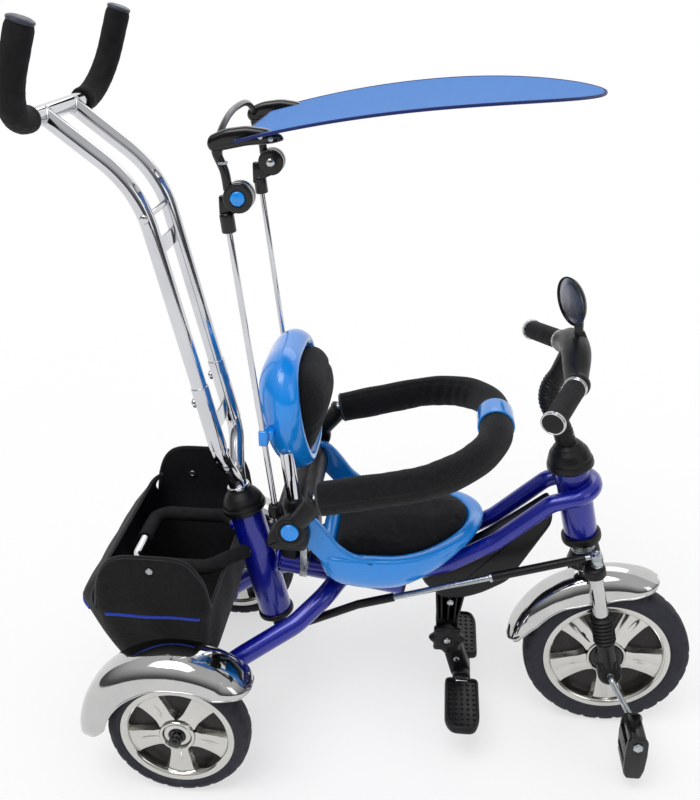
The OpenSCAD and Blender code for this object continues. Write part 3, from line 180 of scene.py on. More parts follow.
def grid_faces(rows, cols, wrap=True, row_wrap=False):
    out = []
    for i in range(rows if row_wrap else rows - 1):
        for j in range(cols if wrap else cols - 1):
            a, b = i * cols, (i + 1) % rows * cols
            k = (j + 1) % cols
            out.append([a + j, a + k, b + k, b + j])
    return out


def oriented(points, faces):
    """A shape with its faces turned outward."""
    fans = np.array([(q[0], q[i], q[i + 1]) for q in faces for i in range(1, len(q) - 1)])
    t = points[fans]
    inside_out = (t[:, 0] * np.cross(t[:, 1], t[:, 2])).sum() < 0
    return points, [q[::-1] for q in faces] if inside_out else faces


def loft(rings, closed=False, put=None):
    """Rings of equal length, skinned in turn: closed on themselves, or with a face at each end. put places the
    points."""
    rows, cols = len(rings), len(rings[0])
    points = np.vstack(rings)
    faces = grid_faces(rows, cols, row_wrap=closed)
    if not closed:
        faces += [list(range(cols))[::-1], list(range((rows - 1) * cols, rows * cols))]
    return oriented(points if put is None else put(points), faces)


def frame_of(axis, xref=None):
    z = unit(axis)
    ref = xref if xref is not None else (Z if abs(z[2]) < 0.9 else X)
    x = unit(ref - np.dot(ref, z) * z)
    return x, np.cross(z, x), z


AXIS_R = 1e-3


def lathe(profile, at, axis, n=64, r=1.0, closed=False, wave=None, xref=None):
    """A turned shape: the profile runs from its start to its end, its corners are rounded by r, and wave(angles, along)
    makes it less round."""
    x, y, z = frame_of(axis, xref)
    a = around(n)
    rings = []
    for rad, h in soften(profile, r, closed):
        q = max(rad, AXIS_R) * (wave(a, h) if wave else 1)
        rings.append(np.asarray(at) + np.outer(q * np.cos(a), x) + np.outer(q * np.sin(a), y) + z * h)
    return loft(rings, closed)


def bar(p, q, r, sides, end=1.0):
    return lathe(rect(0, 0, r, np.linalg.norm(q - p)), p, q - p, sides, end)


def cross(profile, x, z, n=56, r=0.8, closed=False):
    """A turned shape on a sideways axis; along counts from the middle plane towards +Y."""
    return lathe(profile, (x, 0, z), Y, n, r, closed, xref=X)


def along_head(profile, x=0.0, y=0.0, n=64, r=1.0, closed=False):
    return lathe(profile, at_head([x, y, 0]), LEAN_Z, n, r, closed, xref=LEAN_X)


def along_col(profile, x=0.0, y=0.0, n=64, r=1.0, closed=False):
    return lathe(profile, at_col([x, y, 0]), LEAN_Z, n, r, closed, xref=LEAN_X)


# Shares of the bevel that each ring of a plate's rounded edge lies in from the outline, and up from the face.
EDGE_STEPS = [(1.0, 0.0), (0.62, 0.08), (0.3, 0.3), (0.08, 0.62), (0.0, 1.0)]


def slab(outline, h0, h1, bevel, corner, put=None, n=4):
    """A plate with rounded edges; put turns (u, v, height) rows into places."""
    line = rounded(outline, corner, n)
    steps = [(k, h0 + bevel * h) for k, h in EDGE_STEPS] + [(k, h1 - bevel * h) for k, h in EDGE_STEPS[::-1]]
    return loft([np.column_stack([inset(line, bevel * k), np.full(len(line), h)]) for k, h in steps], put=put)


def side(p):
    """(x, z, y) rows as places."""
    return p[:, [0, 2, 1]]


def rounded_box(low, high, bevel, corner):
    return slab(rect(low[0], low[1], high[0], high[1]), low[2], high[2], bevel, corner)


# Swept shapes follow stations: (place, direction) pairs along a line.


def stations_of(points, closed=True):
    p = np.asarray(points, float)
    d = np.roll(p, -1, 0) - np.roll(p, 1, 0) if closed else np.gradient(p, axis=0)
    return [(q, unit(e)) for q, e in zip(p, d)]


def lengths(st):
    """Distance along the stations' line at each of them."""
    p = np.array([s[0] for s in st])
    return np.concatenate([[0], np.cumsum(np.linalg.norm(np.diff(p, axis=0), axis=1))])


def route(path, bend, step, seg):
    """Stations along straight legs joined by bends of one radius: one for each step degrees of a bend, and none further
    than seg from the next."""
    path = [np.asarray(p, float) for p in path]
    dirs = [unit(b - a) for a, b in zip(path, path[1:])]
    st = [(path[0], dirs[0])]
    for before, p, after, d0, d1 in zip(path, path[1:], path[2:], dirs, dirs[1:]):
        turn = math.acos(max(-1, min(1, float(np.dot(d0, d1)))))
        if turn < 1e-3:
            continue
        room = min(np.linalg.norm(p - before), np.linalg.norm(after - p))
        rad = min(bend, 0.98 * room / math.tan(turn / 2))
        inward = np.cross(unit(np.cross(d0, d1)), d0)
        c = p - d0 * rad * math.tan(turn / 2) + inward * rad
        steps = max(2, math.ceil(math.degrees(turn) / step))
        for k in range(steps + 1):
            u, v = math.cos(turn * k / steps), math.sin(turn * k / steps)
            st.append((c + rad * (v * d0 - u * inward), u * d0 + v * inward))
    st.append((path[-1], dirs[-1]))
    fine = [st[0]]
    for (p, d), (q, e) in zip(st, st[1:]):
        k = max(1, math.ceil(np.linalg.norm(q - p) / seg))
        fine += [(p + (q - p) * (j / k), unit(d + (e - d) * (j / k))) for j in range(1, k + 1)]
    return [s for i, s in enumerate(fine) if i == 0 or np.linalg.norm(s[0] - fine[i - 1][0]) > 1e-4]


def curve(points, n):
    """About n stations on a smooth curve through the points."""
    p = [np.asarray(q, float) for q in points]
    last = len(p) - 1
    k = max(2, n // last)
    out = []
    for i in range(last):
        a, b, c, d = p[max(i - 1, 0)], p[i], p[i + 1], p[min(i + 2, last)]
        for t in np.arange(k) / k:
            out.append(0.5 * (2 * b + (c - a) * t + (2 * a - 5 * b + 4 * c - d) * t * t
                              + (3 * b - a - 3 * c + d) * t ** 3))
    return stations_of(out + [p[-1]], closed=False)


def sweep(st, r, sides, bore=0, end=1.2, closed=False, normal=None, squash=None):
    """A round bar, or a tube with a bore, along stations. r is a number or a function of (share along, angles), end
    rounds a bar's ends, and squash(share along, ring) changes a ring's form."""
    place, tang = (np.array([s[i] for s in st]) for i in (0, 1))
    n0 = normal if normal is not None else frame_of(tang[0])[0]
    norms = [unit(n0 - np.dot(n0, tang[0]) * tang[0])]
    for t in tang[1:]:
        norms.append(unit(norms[-1] - np.dot(norms[-1], t) * t))
    twist = 0.0
    if closed:
        back = unit(norms[-1] - np.dot(norms[-1], tang[0]) * tang[0])
        twist = math.atan2(np.dot(np.cross(back, norms[0]), tang[0]), np.dot(back, norms[0]))
    a = around(sides)
    share = lengths(st)
    share = share / share[-1]
    rings, inner = [], []
    for i, (p, t, n) in enumerate(zip(place, tang, norms)):
        turned = a + twist * i / len(place)
        ring = np.outer(np.cos(turned), n) + np.outer(np.sin(turned), np.cross(t, n))
        if squash is not None:
            ring = squash(share[i], ring)
        rings.append(p + ring * np.reshape(r(share[i], a) if callable(r) else r, (-1, 1)))
        inner.append(p + ring * bore)
    if closed:
        return loft(rings, True)
    if bore:
        return loft(rings + inner[::-1], True)
    if end:
        for i, way in ((0, -1), (-1, 1)):
            c = rings[i]
            lip = place[i] + (c - place[i]) * (1 - end / np.linalg.norm(c[0] - place[i]))
            rings[i] = c - tang[i] * way * end
            rings.insert(0 if i == 0 else len(rings), lip)
    return loft(rings)


BEAD_PITCH, BEAD_POINTS = 5.0, 40


def bead(st, r=2.4, ripple=0.25):
    """A weld bead along a closed line of stations."""
    long = lengths(st)[-1]
    return sweep(st, lambda s, a: r * (1 + ripple * abs(math.sin(s * long / BEAD_PITCH * math.pi))), 12, closed=True)


def ring_joint(st, r, axis_at, axis, big_r):
    """Stations of the closed line where a swept tube leaves a cylinder."""
    axis = unit(axis)
    out = []
    for a in around(BEAD_POINTS):
        last = None
        n = frame_of(st[0][1])[0]
        for p, t in st:
            n = unit(n - np.dot(n, t) * t)
            q = p + r * (math.cos(a) * n + math.sin(a) * np.cross(t, n))
            d = q - axis_at
            gap = np.linalg.norm(d - np.dot(d, axis) * axis) - big_r
            if gap > 0:
                if last is not None:
                    q = last[0] + (q - last[0]) * (-last[1]) / (gap - last[1])
                break
            last = (q, gap)
        out.append(q)
    return stations_of(out)


def two_layers(first, second):
    """A thin sheet from two grids of places, and the stations along its edge."""
    rows, cols = first.shape[:2]
    n = rows * cols
    grid = grid_faces(rows, cols, False)
    edge = ([(0, j) for j in range(cols)] + [(i, cols - 1) for i in range(1, rows)]
            + [(rows - 1, j) for j in range(cols - 2, -1, -1)] + [(i, 0) for i in range(rows - 2, 0, -1)])
    ids = [i * cols + j for i, j in edge]
    faces = [f[::-1] for f in grid] + [[i + n for i in f] for f in grid]
    faces += [[a, b, b + n, a + n] for a, b in zip(ids, ids[1:] + ids[:1])]
    middle = stations_of([(first[i, j] + second[i, j]) / 2 for i, j in edge])
    return oriented(np.vstack([first.reshape(-1, 3), second.reshape(-1, 3)]), faces), middle


def piece(name, shape, mats, body, replaces=None, sharp=38, uv=None, slot=None):
    """Makes a piece from a shape, with smooth faces that are sharp only at real edges. It looks up the slot of its
    first material, unless another is given, but does not keep it."""
    mats = mats if isinstance(mats, list) else [mats]
    slot = slot or SLOT_OF[mats[0].name]
    mesh = bpy.data.meshes.new(name)
    mesh.from_pydata(metres(shape[0]).tolist(), [], [list(map(int, f)) for f in shape[1]])
    for m in mats:
        mesh.materials.append(m)
    if len(shape) > 2:
        mesh.polygons.foreach_set("material_index", np.asarray(shape[2], np.int32))
    if uv is not None:
        layer = mesh.uv_layers.new(name="weave")
        loops = np.zeros(len(mesh.loops), np.int32)
        mesh.loops.foreach_get("vertex_index", loops)
        layer.data.foreach_set("uv", np.asarray(uv, np.float32)[loops].ravel())
    mesh.polygons.foreach_set("use_smooth", np.ones(len(mesh.polygons), bool))
    mesh.set_sharp_from_angle(angle=math.radians(sharp))
    mesh.update()
    o = bpy.data.objects.new(name, mesh)
    scene.collection.objects.link(o)
    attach(o, body)
    if replaces:
        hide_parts(replaces)
    return o


# Materials


def rgb(r, g, b):
    """A colour as it looks on a screen, 0 to 255, for a shader."""
    out = []
    for v in (r, g, b):
        v /= 255
        out.append(v / 12.92 if v <= 0.04045 else ((v + 0.055) / 1.055) ** 2.4)
    return (*out, 1.0)


def darker(c, k):
    return (c[0] * k, c[1] * k, c[2] * k, 1.0)


def add_node(tree, type_name, inputs=None, **settings):
    """A new node. Each of its inputs takes a value or is linked to another node's output."""
    n = tree.nodes.new(type_name)
    for k, v in settings.items():
        setattr(n, k, v)
    for k, v in (inputs or {}).items():
        if isinstance(v, bpy.types.NodeSocket):
            tree.links.new(v, n.inputs[k])
        else:
            n.inputs[k].default_value = v
    return n


class Finish:
    """A material on the Principled shader, with its patterns in metres on the piece itself."""

    def __init__(self, name, colour, rough=0.5, metal=0.0, spec=0.5, coat=0.0, coat_rough=0.05, sheen=0.0):
        self.mat = bpy.data.materials.new(name)
        self.mat.use_nodes = True
        self.tree = self.mat.node_tree
        self.shader = self.tree.nodes["Principled BSDF"]
        for socket, value in {
                "Base Color": colour, "Roughness": rough, "Metallic": metal, "Specular IOR Level": spec,
                "Coat Weight": coat, "Coat Roughness": coat_rough, "Sheen Weight": sheen}.items():
            self.shader.inputs[socket].default_value = value
        self.place = self.node("ShaderNodeTexCoord").outputs["Object"]
        self.normal = None

    def node(self, type_name, inputs=None, **settings):
        return add_node(self.tree, type_name, inputs, **settings)

    def feed(self, socket, value):
        self.tree.links.new(value, self.shader.inputs[socket])

    def noise(self, scale, detail):
        return self.node("ShaderNodeTexNoise", {"Scale": scale, "Detail": detail, "Vector": self.place}).outputs["Fac"]

    def cells(self, scale):
        return self.node("ShaderNodeTexVoronoi", {"Scale": scale, "Vector": self.place}).outputs["Distance"]

    def spread(self, value, low, high, from_low=0.3, from_high=0.7):
        return self.node("ShaderNodeMapRange", {"From Min": from_low, "From Max": from_high, "To Min": low,
                                                "To Max": high, "Value": value}).outputs["Result"]

    def tint(self, value, low, high, from_low=0.3, from_high=0.7):
        """The base colour runs from low to high with the value."""
        ramp = self.node("ShaderNodeValToRGB", {"Fac": value})
        for stop, at, colour in zip(ramp.color_ramp.elements, (from_low, from_high), (low, high)):
            stop.position, stop.color = at, colour
        self.feed("Base Color", ramp.outputs["Color"])

    def gloss(self, value, low, high):
        self.feed("Roughness", self.spread(value, low, high))

    def bump(self, value, depth, strength):
        """Adds relief: depth is in metres."""
        inputs = {"Strength": strength, "Distance": depth, "Height": value}
        if self.normal is not None:
            inputs["Normal"] = self.normal
        self.normal = self.node("ShaderNodeBump", inputs).outputs["Normal"]
        self.feed("Normal", self.normal)

    def calc(self, op, *values):
        return self.node("ShaderNodeMath", dict(enumerate(values)), operation=op).outputs[0]

    def weave(self, pitch, turned, uv, axes):
        """Over-and-under threads of that pitch in metres, from 0 to 1."""
        source = self.node("ShaderNodeUVMap", uv_map="weave").outputs["UV"] if uv else self.place
        split = self.node("ShaderNodeSeparateXYZ", {"Vector": source}).outputs
        u, v = split[axes[0]], split[axes[1]]
        if turned:
            u, v = self.calc("ADD", u, v), self.calc("SUBTRACT", u, v)
        waves = [self.calc("SINE", self.calc("MULTIPLY", w, 2 * math.pi / pitch)) for w in (u, v)]
        return self.spread(self.calc("MULTIPLY", *waves), 0.0, 1.0, -1.0, 1.0)


def paint():
    f = Finish("frame paint", rgb(6, 22, 160), 0.3, 0.3, 0.5, 0.7, 0.04)
    f.tint(f.cells(1600), rgb(9, 32, 184), rgb(5, 15, 136), 0.1, 0.6)
    f.gloss(f.noise(60, 3), 0.24, 0.36)
    f.bump(f.noise(420, 2), 0.00008, 0.25)
    return f.mat


def chrome(name, base, low=0.04, high=0.11, ripple=0.00025):
    f = Finish(name, rgb(*base), low, 1.0)
    f.tint(f.noise(22, 4), rgb(*[v - 10 for v in base]), rgb(*base))
    f.gloss(f.noise(35, 5), low, high)
    f.bump(f.noise(14, 2), ripple, 0.35)
    return f.mat


def zinc():
    f = Finish("zinc plate", rgb(176, 182, 186), 0.3, 1.0)
    f.tint(f.noise(90, 5), rgb(158, 164, 168), rgb(192, 197, 200))
    f.gloss(f.noise(240, 4), 0.22, 0.42)
    f.bump(f.noise(700, 3), 0.00008, 0.3)
    return f.mat


def plastic(name, base, rough, grain=900, depth=0.00012, vary=0.75, coat=0.0, spec=0.3):
    f = Finish(name, base, rough, 0.0, spec, coat, 0.06)
    f.tint(f.noise(24, 4), darker(base, vary), base)
    f.gloss(f.noise(120, 4), rough - 0.07, rough + 0.08)
    f.bump(f.noise(grain, 3), depth, 0.5)
    return f.mat


def cloth(name, base, pitch, depth=0.0006, sheen=0.25, vary=0.62, dust=0.9, uv=False, turned=False, axes="XY"):
    f = Finish(name, base, 0.85, 0.0, 0.25, sheen=sheen)
    w = f.weave(pitch, turned, uv, axes)
    f.tint(f.calc("MULTIPLY", w, f.spread(f.noise(45, 4), dust, 1.0)), darker(base, vary), base, 0.1, 0.9)
    f.gloss(f.noise(160, 3), 0.78, 0.95)
    f.bump(w, depth, 0.7)
    f.bump(f.noise(75, 3), 0.0012, 0.3)
    return f.mat


def foam_rubber(name, base, rough, pore, depth=0.0004):
    f = Finish(name, base, rough, 0.0, 0.35)
    f.tint(f.noise(30, 4), darker(base, 0.72), base)
    f.gloss(f.noise(90, 3), rough - 0.08, rough + 0.08)
    f.bump(f.cells(pore), depth, 0.45)
    f.bump(f.noise(260, 4), 0.0003, 0.4)
    return f.mat


BLUE_PAINT = paint()
CHROME = chrome("chrome", (200, 200, 199))
BRIGHT_TUBE = chrome("chrome tube", (212, 213, 217), 0.04, 0.12)
PLATED = chrome("plated plastic", (208, 207, 203), 0.08, 0.18, 0.0003)
ZINC = zinc()
BLACK = plastic("black plastic", rgb(17, 17, 19), 0.4)
GLOSS_BLACK = plastic("gloss black plastic", rgb(14, 14, 16), 0.2, 500, 0.00008, 0.8, 0.3)
WINDOW = plastic("wheel web", rgb(38, 35, 33), 0.3, 500, 0.0001, 0.7)
AZURE = plastic("azure plastic", rgb(12, 143, 238), 0.2, 300, 0.00006, 0.93, 0.5, 0.5)
RUBBER = foam_rubber("grip rubber", rgb(20, 19, 20), 0.6, 900)
FOAM = foam_rubber("handle foam", rgb(17, 17, 19), 0.86, 1300)
TYRE = foam_rubber("tyre foam", rgb(46, 47, 56), 0.72, 1500, 0.0003)
SEAT_CLOTH = cloth("seat cloth", rgb(16, 16, 18), 0.0026, sheen=0.08)
BASKET_CLOTH = cloth("basket cloth", rgb(15, 15, 18), 0.0030, 0.0005, 0.08, axes="XZ")
SLEEVE_CLOTH = cloth("sleeve mesh", rgb(20, 20, 23), 0.0052, 0.0011, 0.1, 0.4, uv=True, turned=True)
CANOPY_CLOTH = cloth("canopy cloth", rgb(82, 138, 213), 0.0024, 0.0003, 0.1, 0.9, 0.97)
NAVY = cloth("navy edging", rgb(30, 44, 112), 0.0026, 0.0004)
PIPING = cloth("blue piping", rgb(34, 66, 186), 0.0026, 0.0004, axes="XZ")
ELASTIC = cloth("light elastic", rgb(66, 66, 70), 0.0020, 0.0004, axes="YZ")

SLOTS = {
    "frame_paint": [BLUE_PAINT], "chrome_steel": [CHROME, BRIGHT_TUBE], "plated_plastic": [PLATED], "zinc": [ZINC],
    "black_plastic": [BLACK, GLOSS_BLACK], "blue_plastic": [AZURE], "grip_rubber": [RUBBER], "foam": [FOAM],
    "tyre_foam": [TYRE], "black_fabric": [SEAT_CLOTH, BASKET_CLOTH, SLEEVE_CLOTH, PIPING, ELASTIC],
    "canopy_cloth": [CANOPY_CLOTH, NAVY]}
SLOT_OF = {m.name: slot for slot, mats in SLOTS.items() for m in mats}

# Frame

SPINE_Z, SPINE_DROP, SPINE_R, COLUMN_R, HEAD_R, MAIN_R, STAY_R = 262.0, 0.167, 20.0, 25.0, 24.0, 12.5, 15
AXLE_R, SHAFT_R, BUSH_R = 6, 11, 11.2


def spine_at(x):
    return arr(x, 0, SPINE_Z - SPINE_DROP * (x - COLUMN[0]))


MAIN_HALF = 36.6
NOSE_T = 299.0
nose = at_head([MAIN_HALF - 9, -MAIN_HALF, NOSE_T])
neck = at_head([-35, -MAIN_HALF, NOSE_T - 4])
knee_x = neck[0] - 73


def main_rise(x):
    return neck[2] - 0.93 * (neck[0] - x)


main_leg = [arr(238, -14, spine_at(238)[2] + 4), arr(272, -MAIN_HALF, 257), arr(372, -MAIN_HALF, 293),
            arr(knee_x, -MAIN_HALF, main_rise(knee_x)), neck]
main_path = main_leg + [nose, flip(nose)] + [flip(p) for p in main_leg[::-1]]
main_st = route(main_path, MAIN_HALF - 2, 5, 14)
main_weld = ring_joint(route(main_leg[:2], 1, 5, 2), MAIN_R, spine_at(200), spine_at(300) - spine_at(200), SPINE_R)
piece("main_loop", joined(sweep(main_st, MAIN_R, 36), *pairs(bead(main_weld))), BLUE_PAINT, "chassis", "main_tube")
piece("steering_head", along_head(rect(20, 216, HEAD_R, 326), n=72, r=1.4, closed=True), BLUE_PAINT, "chassis",
      "head_tube")

spine_dir = unit(spine_at(300) - spine_at(100))
spine_st = [(spine_at(x), spine_dir) for x in np.linspace(112, 305, 60)]
spine_weld = ring_joint(spine_st, SPINE_R, COLUMN, LEAN_Z, COLUMN_R)
piece("spine", joined(bar(spine_at(118), spine_at(305), SPINE_R, 56, 1.5), bead(spine_weld, 2.8)), BLUE_PAINT,
      "chassis", "spine_tube")
piece("spine_plug", bar(spine_at(303.5), spine_at(309), SPINE_R - 1.5, 40, 2), BLACK, "chassis")

stub = at_col([-COLUMN_R + 2, 0, 176])
piece("pole_column", joined(
    along_col(rect(20, 14, COLUMN_R, 198), n=72, r=1.4, closed=True),
    lathe([(0, 0), (7, 0), (7, 5), (5.5, 8), (0, 8.6)], stub, -LEAN_X, 28, 1.6)),
    BLUE_PAINT, "chassis", "rear_column")

stay_path = [arr(214, -8, spine_at(214)[2]), arr(190, -54, 232), arr(150, -86, 203), arr(72, -116, REAR_R + 58),
             arr(0, -126, REAR_R)]
stay_weld = ring_joint(route(stay_path, 70, 2, 2), STAY_R, spine_at(200), spine_dir, SPINE_R)
sleeve = cross(rect(6.2, -170, 18, -108), 0, REAR_R, closed=True, r=1.6)
piece("stays", joined(*pairs(sweep(route(stay_path, 70, 4, 10), STAY_R, 36), sleeve, bead(stay_weld, 2.6))), BLUE_PAINT,
      "chassis", "rear_stays")
piece("axle_rod", cross(rect(0, -230, AXLE_R, 230), 0, REAR_R, 32), ZINC, "chassis", "rear_axle")

lower_cap = [(BUSH_R, 207.3), (24, 207.2), (28, 208), (29, 212), (28.5, 219.5), (24.3, 220.5), (24.2, 216),
             (BUSH_R, 216)]
upper_cap = [(BUSH_R, 326.2), (26, 326.2), (26.4, 329.8), (BUSH_R, 330)]
column_cap = [(BUSH_R, 8), (23, 8), (27, 9), (28, 12), (27.6, 17), (25.3, 17.6), (25.2, 14), (BUSH_R, 14)]
piece("head_caps", joined(
    along_head(lower_cap, closed=True), along_head(upper_cap, closed=True), along_col(column_cap, closed=True),
    along_col(rect(BUSH_R, 198.2, 26, 201), closed=True, r=0.6)), BLACK, "chassis", "bushes")

belly = [(336, 244), (366, 217), (396, 220), (424, 231), (462, 256), (knee_x + 80, main_rise(knee_x + 80) - 48),
         (knee_x + 76, main_rise(knee_x + 76) - 12), (knee_x - 2, main_rise(knee_x) - 6), (374, 284), (330, 262)]
piece("belly_fairing", slab(belly, -23.7, 23.7, 7, 12, side, 6), BLACK, "chassis", "belly_cover")

# Front end

LEG_X, LEG_Y, LEG_R = 9, 50, 11
LINK_X, LINK_Y = 14, -50
piece("steering_shaft", joined(
    along_head(rect(0, 172, SHAFT_R, 383), n=40),
    along_head([(0, 190.2), (17, 190.2), (17, 193), (15.4, 193.6), (15.4, 194.4), (17, 195), (17, 197.2), (15, 198),
                (15, 201), (16.4, 201.6), (16.4, 204.6), (14, 205.6), (0, 205.6)], n=56, r=0.7)),
    ZINC, "fork", "steerer")

crown_arm = slab(there_back([(-15, -34), (24, -50)]), 174, 190, 5, 14, at_head, 6)
leg_socket = [(11.1, 175), (15.2, 175), (16, 177), (16, 188), (13, 191.5), (0, 192)]
collar = along_head([(0, 168), (27, 168), (26, 176), (21, 186), (18.5, 190), (0, 190)], n=56, r=2.5)
pin = along_head([(0, 188), (8, 188), (8, 192), (7, 192.5), (7, 203.4), (4, 203.8), (4, 214.8), (0, 215.8)],
                 LINK_X, LINK_Y, 32, 0.5)
piece("crown", joined(crown_arm, *[along_head(leg_socket, LEG_X, s * LEG_Y, 44, 1.2) for s in (-1, 1)], collar,
                      kind(pin, 1)), [BLACK, ZINC], "fork", "fork_crown")
piece("fork_tubes", joined(*[along_head(rect(0, 66, LEG_R, 183.6), LEG_X, s * LEG_Y, 44) for s in (-1, 1)]), CHROME,
      "fork", "fork_legs")

ribs = []
for i in range(7):
    z = 59 + i * 6.6
    ribs += [(13.0, z), (16.6, z + 1.8), (16.6, z + 3.4), (13.0, z + 5.2)]
lower = [(0, 14), (12, 14), (12.4, 52), (14.2, 54), (14.2, 57), (12.6, 58.4), *ribs, (13.6, 105.4), (11.2, 105.6),
         (11.2, 66), (0, 66)]
axle_end = there_back([(5.1, -11.5), (14, -11.5), (17.4, -9.5), (18, -7)])
neck_line = [(-11.5, -4), (11.5, -4), (12.2, 22), (-12.2, 22)]
lowers = []
for s in (-1, 1):
    lowers += [along_head(lower, LEG_X, s * LEG_Y, 56, 0.9),
               lathe(axle_end, at_head([LEG_X, s * LEG_Y, 0]), Y, 56, 1.0, True, xref=X),
               slab(neck_line, -10.6, 10.6, 3, 3,
                    lambda p, s=s: at_head(np.column_stack([p[:, 0] + LEG_X, s * LEG_Y + p[:, 2], p[:, 1]])))]
piece("fork_bellows", joined(*lowers), BLACK, "fork", "fork_lowers")

GUARD_WALL, GUARD_ROLL, GUARD_COLS, GUARD_END, GUARD_SWEEP = 1.6, 1.5, 33, 0.11, 0.92


def guard_sheet(centre, crown_r, half, edge_r, start, stop, rows=72):
    """A crowned mudguard with a rolled edge round a sideways axle, between two angles in degrees. edge_r lists angles
    and the radius of its lower edge there, and its ends are rounded off in plan."""
    s = np.linspace(-1, 1, GUARD_COLS)
    layers = []
    for layer in (0.0, GUARD_WALL):
        rings = []
        for k in range(rows):
            t = k / (rows - 1)
            a = start + (stop - start) * t
            round_off = math.sqrt(max(0.0, 1 - (1 - min(1.0, min(t, 1 - t) / GUARD_END)) ** 2))
            drop = (crown_r - np.interp(a, *zip(*edge_r))) * (0.35 + 0.65 * round_off)
            rad = crown_r - np.abs(s) ** 2.5 * drop - layer
            wide = half * (0.42 + 0.58 * round_off)
            y = wide * np.sin(s * math.pi / 2 * GUARD_SWEEP) / math.sin(math.pi / 2 * GUARD_SWEEP)
            y = y - layer * 0.9 * np.sign(s) * np.abs(s) ** 3
            c, d = math.cos(math.radians(a)), math.sin(math.radians(a))
            rings.append(np.asarray(centre) + np.outer(rad, X * c + Z * d) + np.outer(y, Y))
        layers.append(np.array(rings))
    shell, edge = two_layers(*layers)
    return [shell, sweep(edge, GUARD_ROLL, 10, closed=True)]


FRONT_EDGE = [(66, 140), (72, 134), (80, 124), (94, 116), (100, 112), (118, 116), (128, 122), (140, 125), (151, 127),
              (164, 138)]
guard_post = along_head([(0, 146), (13, 146), (13, 155), (15, 158), (14, 169.9), (0, 169.9)], n=44)
piece("front_fender", joined(*guard_sheet(FRONT_HUB, 153, 34, FRONT_EDGE, 66, 172), guard_post), CHROME, "fork",
      "front_mudguard")

# Handlebar

BAR_T = 508.0
GRIP_FOOT, GRIP_WAY = arr(18, 82, BAR_T - 20), arr(-39, 84, -6)
GRIP_LEN = GRIP_WAY[1] / unit(GRIP_WAY)[1]


def on_grip(profile, s, n, r, closed=False):
    """A turned shape on the handlebar's end on side s."""
    return lathe(profile, at_head(GRIP_FOOT * [1, s, 1]), leaned(ORIGIN, unit(GRIP_WAY * [1, s, 1])), n, r, closed)


piece("stem_dome", along_head(
    [(BUSH_R, 331.2), (33, 331.2), (33.4, 334), (32.5, 341), (31, 343), (30.2, 344), (30.6, 346), (27, 356), (22, 362),
     (20.5, 364.5), (18.4, 366), (17, 368.5), (BUSH_R, 369)], n=64, r=1.6, closed=True), BLACK, "fork")
stem_path = [(0, 0, 357), (-4, 0, 389), (-20, 0, BAR_T - 62), (26, 0, BAR_T - 4)]
stem_st = route([at_head(p) for p in stem_path], 40, 3, 1.15)
stem_long = lengths(stem_st)[-1]


def stem_size(s, a):
    d = s * stem_long
    ribbed = max(0.0, min(1.0, (d - 6) / 6, (122 - d) / 10))
    body = 13.2 + 3.6 * max(0.0, (s - 0.78) / 0.22)
    return body - 0.3 + 1.5 * ribbed * abs(math.sin(math.pi * d / 4.6))


def yoke_size(s, a):
    m = 1 - abs(2 * s - 1)
    return 15.2 + 4.2 * math.sin(min(1.0, m * 1.25) * math.pi / 2) ** 2


yoke_half = [(18, 83, BAR_T - 20), (21, 62, BAR_T - 14.5), (27, 28, BAR_T - 2)]
yoke_path = [flip(p) for p in yoke_half] + [(28.5, 0, BAR_T + 2)] + yoke_half[::-1]
yoke_st = curve([at_head(p) for p in yoke_path], 72)
yoke_end = [(0, -9), (16.4, -9), (16.9, -4), (16.4, -0.2), (0, -0.2)]
mirror_boss = along_head([(0, BAR_T + 8), (10.5, BAR_T + 10), (9, BAR_T + 17), (7.6, BAR_T + 21.8), (0, BAR_T + 21.9)],
                         36, 0, 40, 2)
piece("gooseneck", joined(
    sweep(stem_st, stem_size, 40, end=0), sweep(yoke_st, yoke_size, 48, end=0),
    *[on_grip(yoke_end, s, 48, 1.2) for s in (-1, 1)], mirror_boss), BLACK, "fork", "stem", 50)

RIDGES = 17
bar_core = rect(0, -19, 8, GRIP_LEN - 1)
inner_ring = [(8, 0.2), (14.6, 0.2), (15.4, 1.6), (15.4, 3), (14.4, 3.6), (15.2, 4.4), (15.2, 6), (14.4, 7), (8, 7)]
outer_ring = [(8, GRIP_LEN - 7), (14.6, GRIP_LEN - 7), (15.6, GRIP_LEN - 5), (15.9, GRIP_LEN - 2), (15.4, GRIP_LEN),
              (13.6, GRIP_LEN), (13.2, GRIP_LEN - 1), (8, GRIP_LEN - 1)]
ridges = [(8.1, 7.2), (13.6, 7.2)]
for k in range(RIDGES):
    z = 9 + k * (GRIP_LEN - 19) / RIDGES
    ridges += [(13.5, z), (14.1, z + 0.9), (14.1, z + 2.6), (13.5, z + 3.4)]
ridges += [(13.6, GRIP_LEN - 7.2), (8.1, GRIP_LEN - 7.2)]
end_cap = [(0, GRIP_LEN - 1.2), (13.4, GRIP_LEN - 1.2), (13.4, GRIP_LEN - 0.4), (2.2, GRIP_LEN - 0.1),
           (1.6, GRIP_LEN - 0.8), (0, GRIP_LEN - 0.8)]
rings, grips, caps = [], [], []
for s in (-1, 1):
    rings += [on_grip(bar_core, s, 32, 0.6), on_grip(inner_ring, s, 56, 0.5, True),
              on_grip(outer_ring, s, 56, 0.5, True)]
    grips.append(on_grip(ridges, s, 56, 0.4, True))
    caps.append(on_grip(end_cap, s, 48, 0.2))
piece("grip_rings", joined(*rings), CHROME, "fork", "bar_ends")
piece("grip_sleeves", joined(*grips), RUBBER, "fork", "grips")
piece("grip_end_caps", joined(*caps), BLACK, "fork")

# Mirror

MIRROR_X, MIRROR_T, MIRROR_TURN, MIRROR_SQUEEZE = 36.0, 574.0, math.radians(36), 0.74


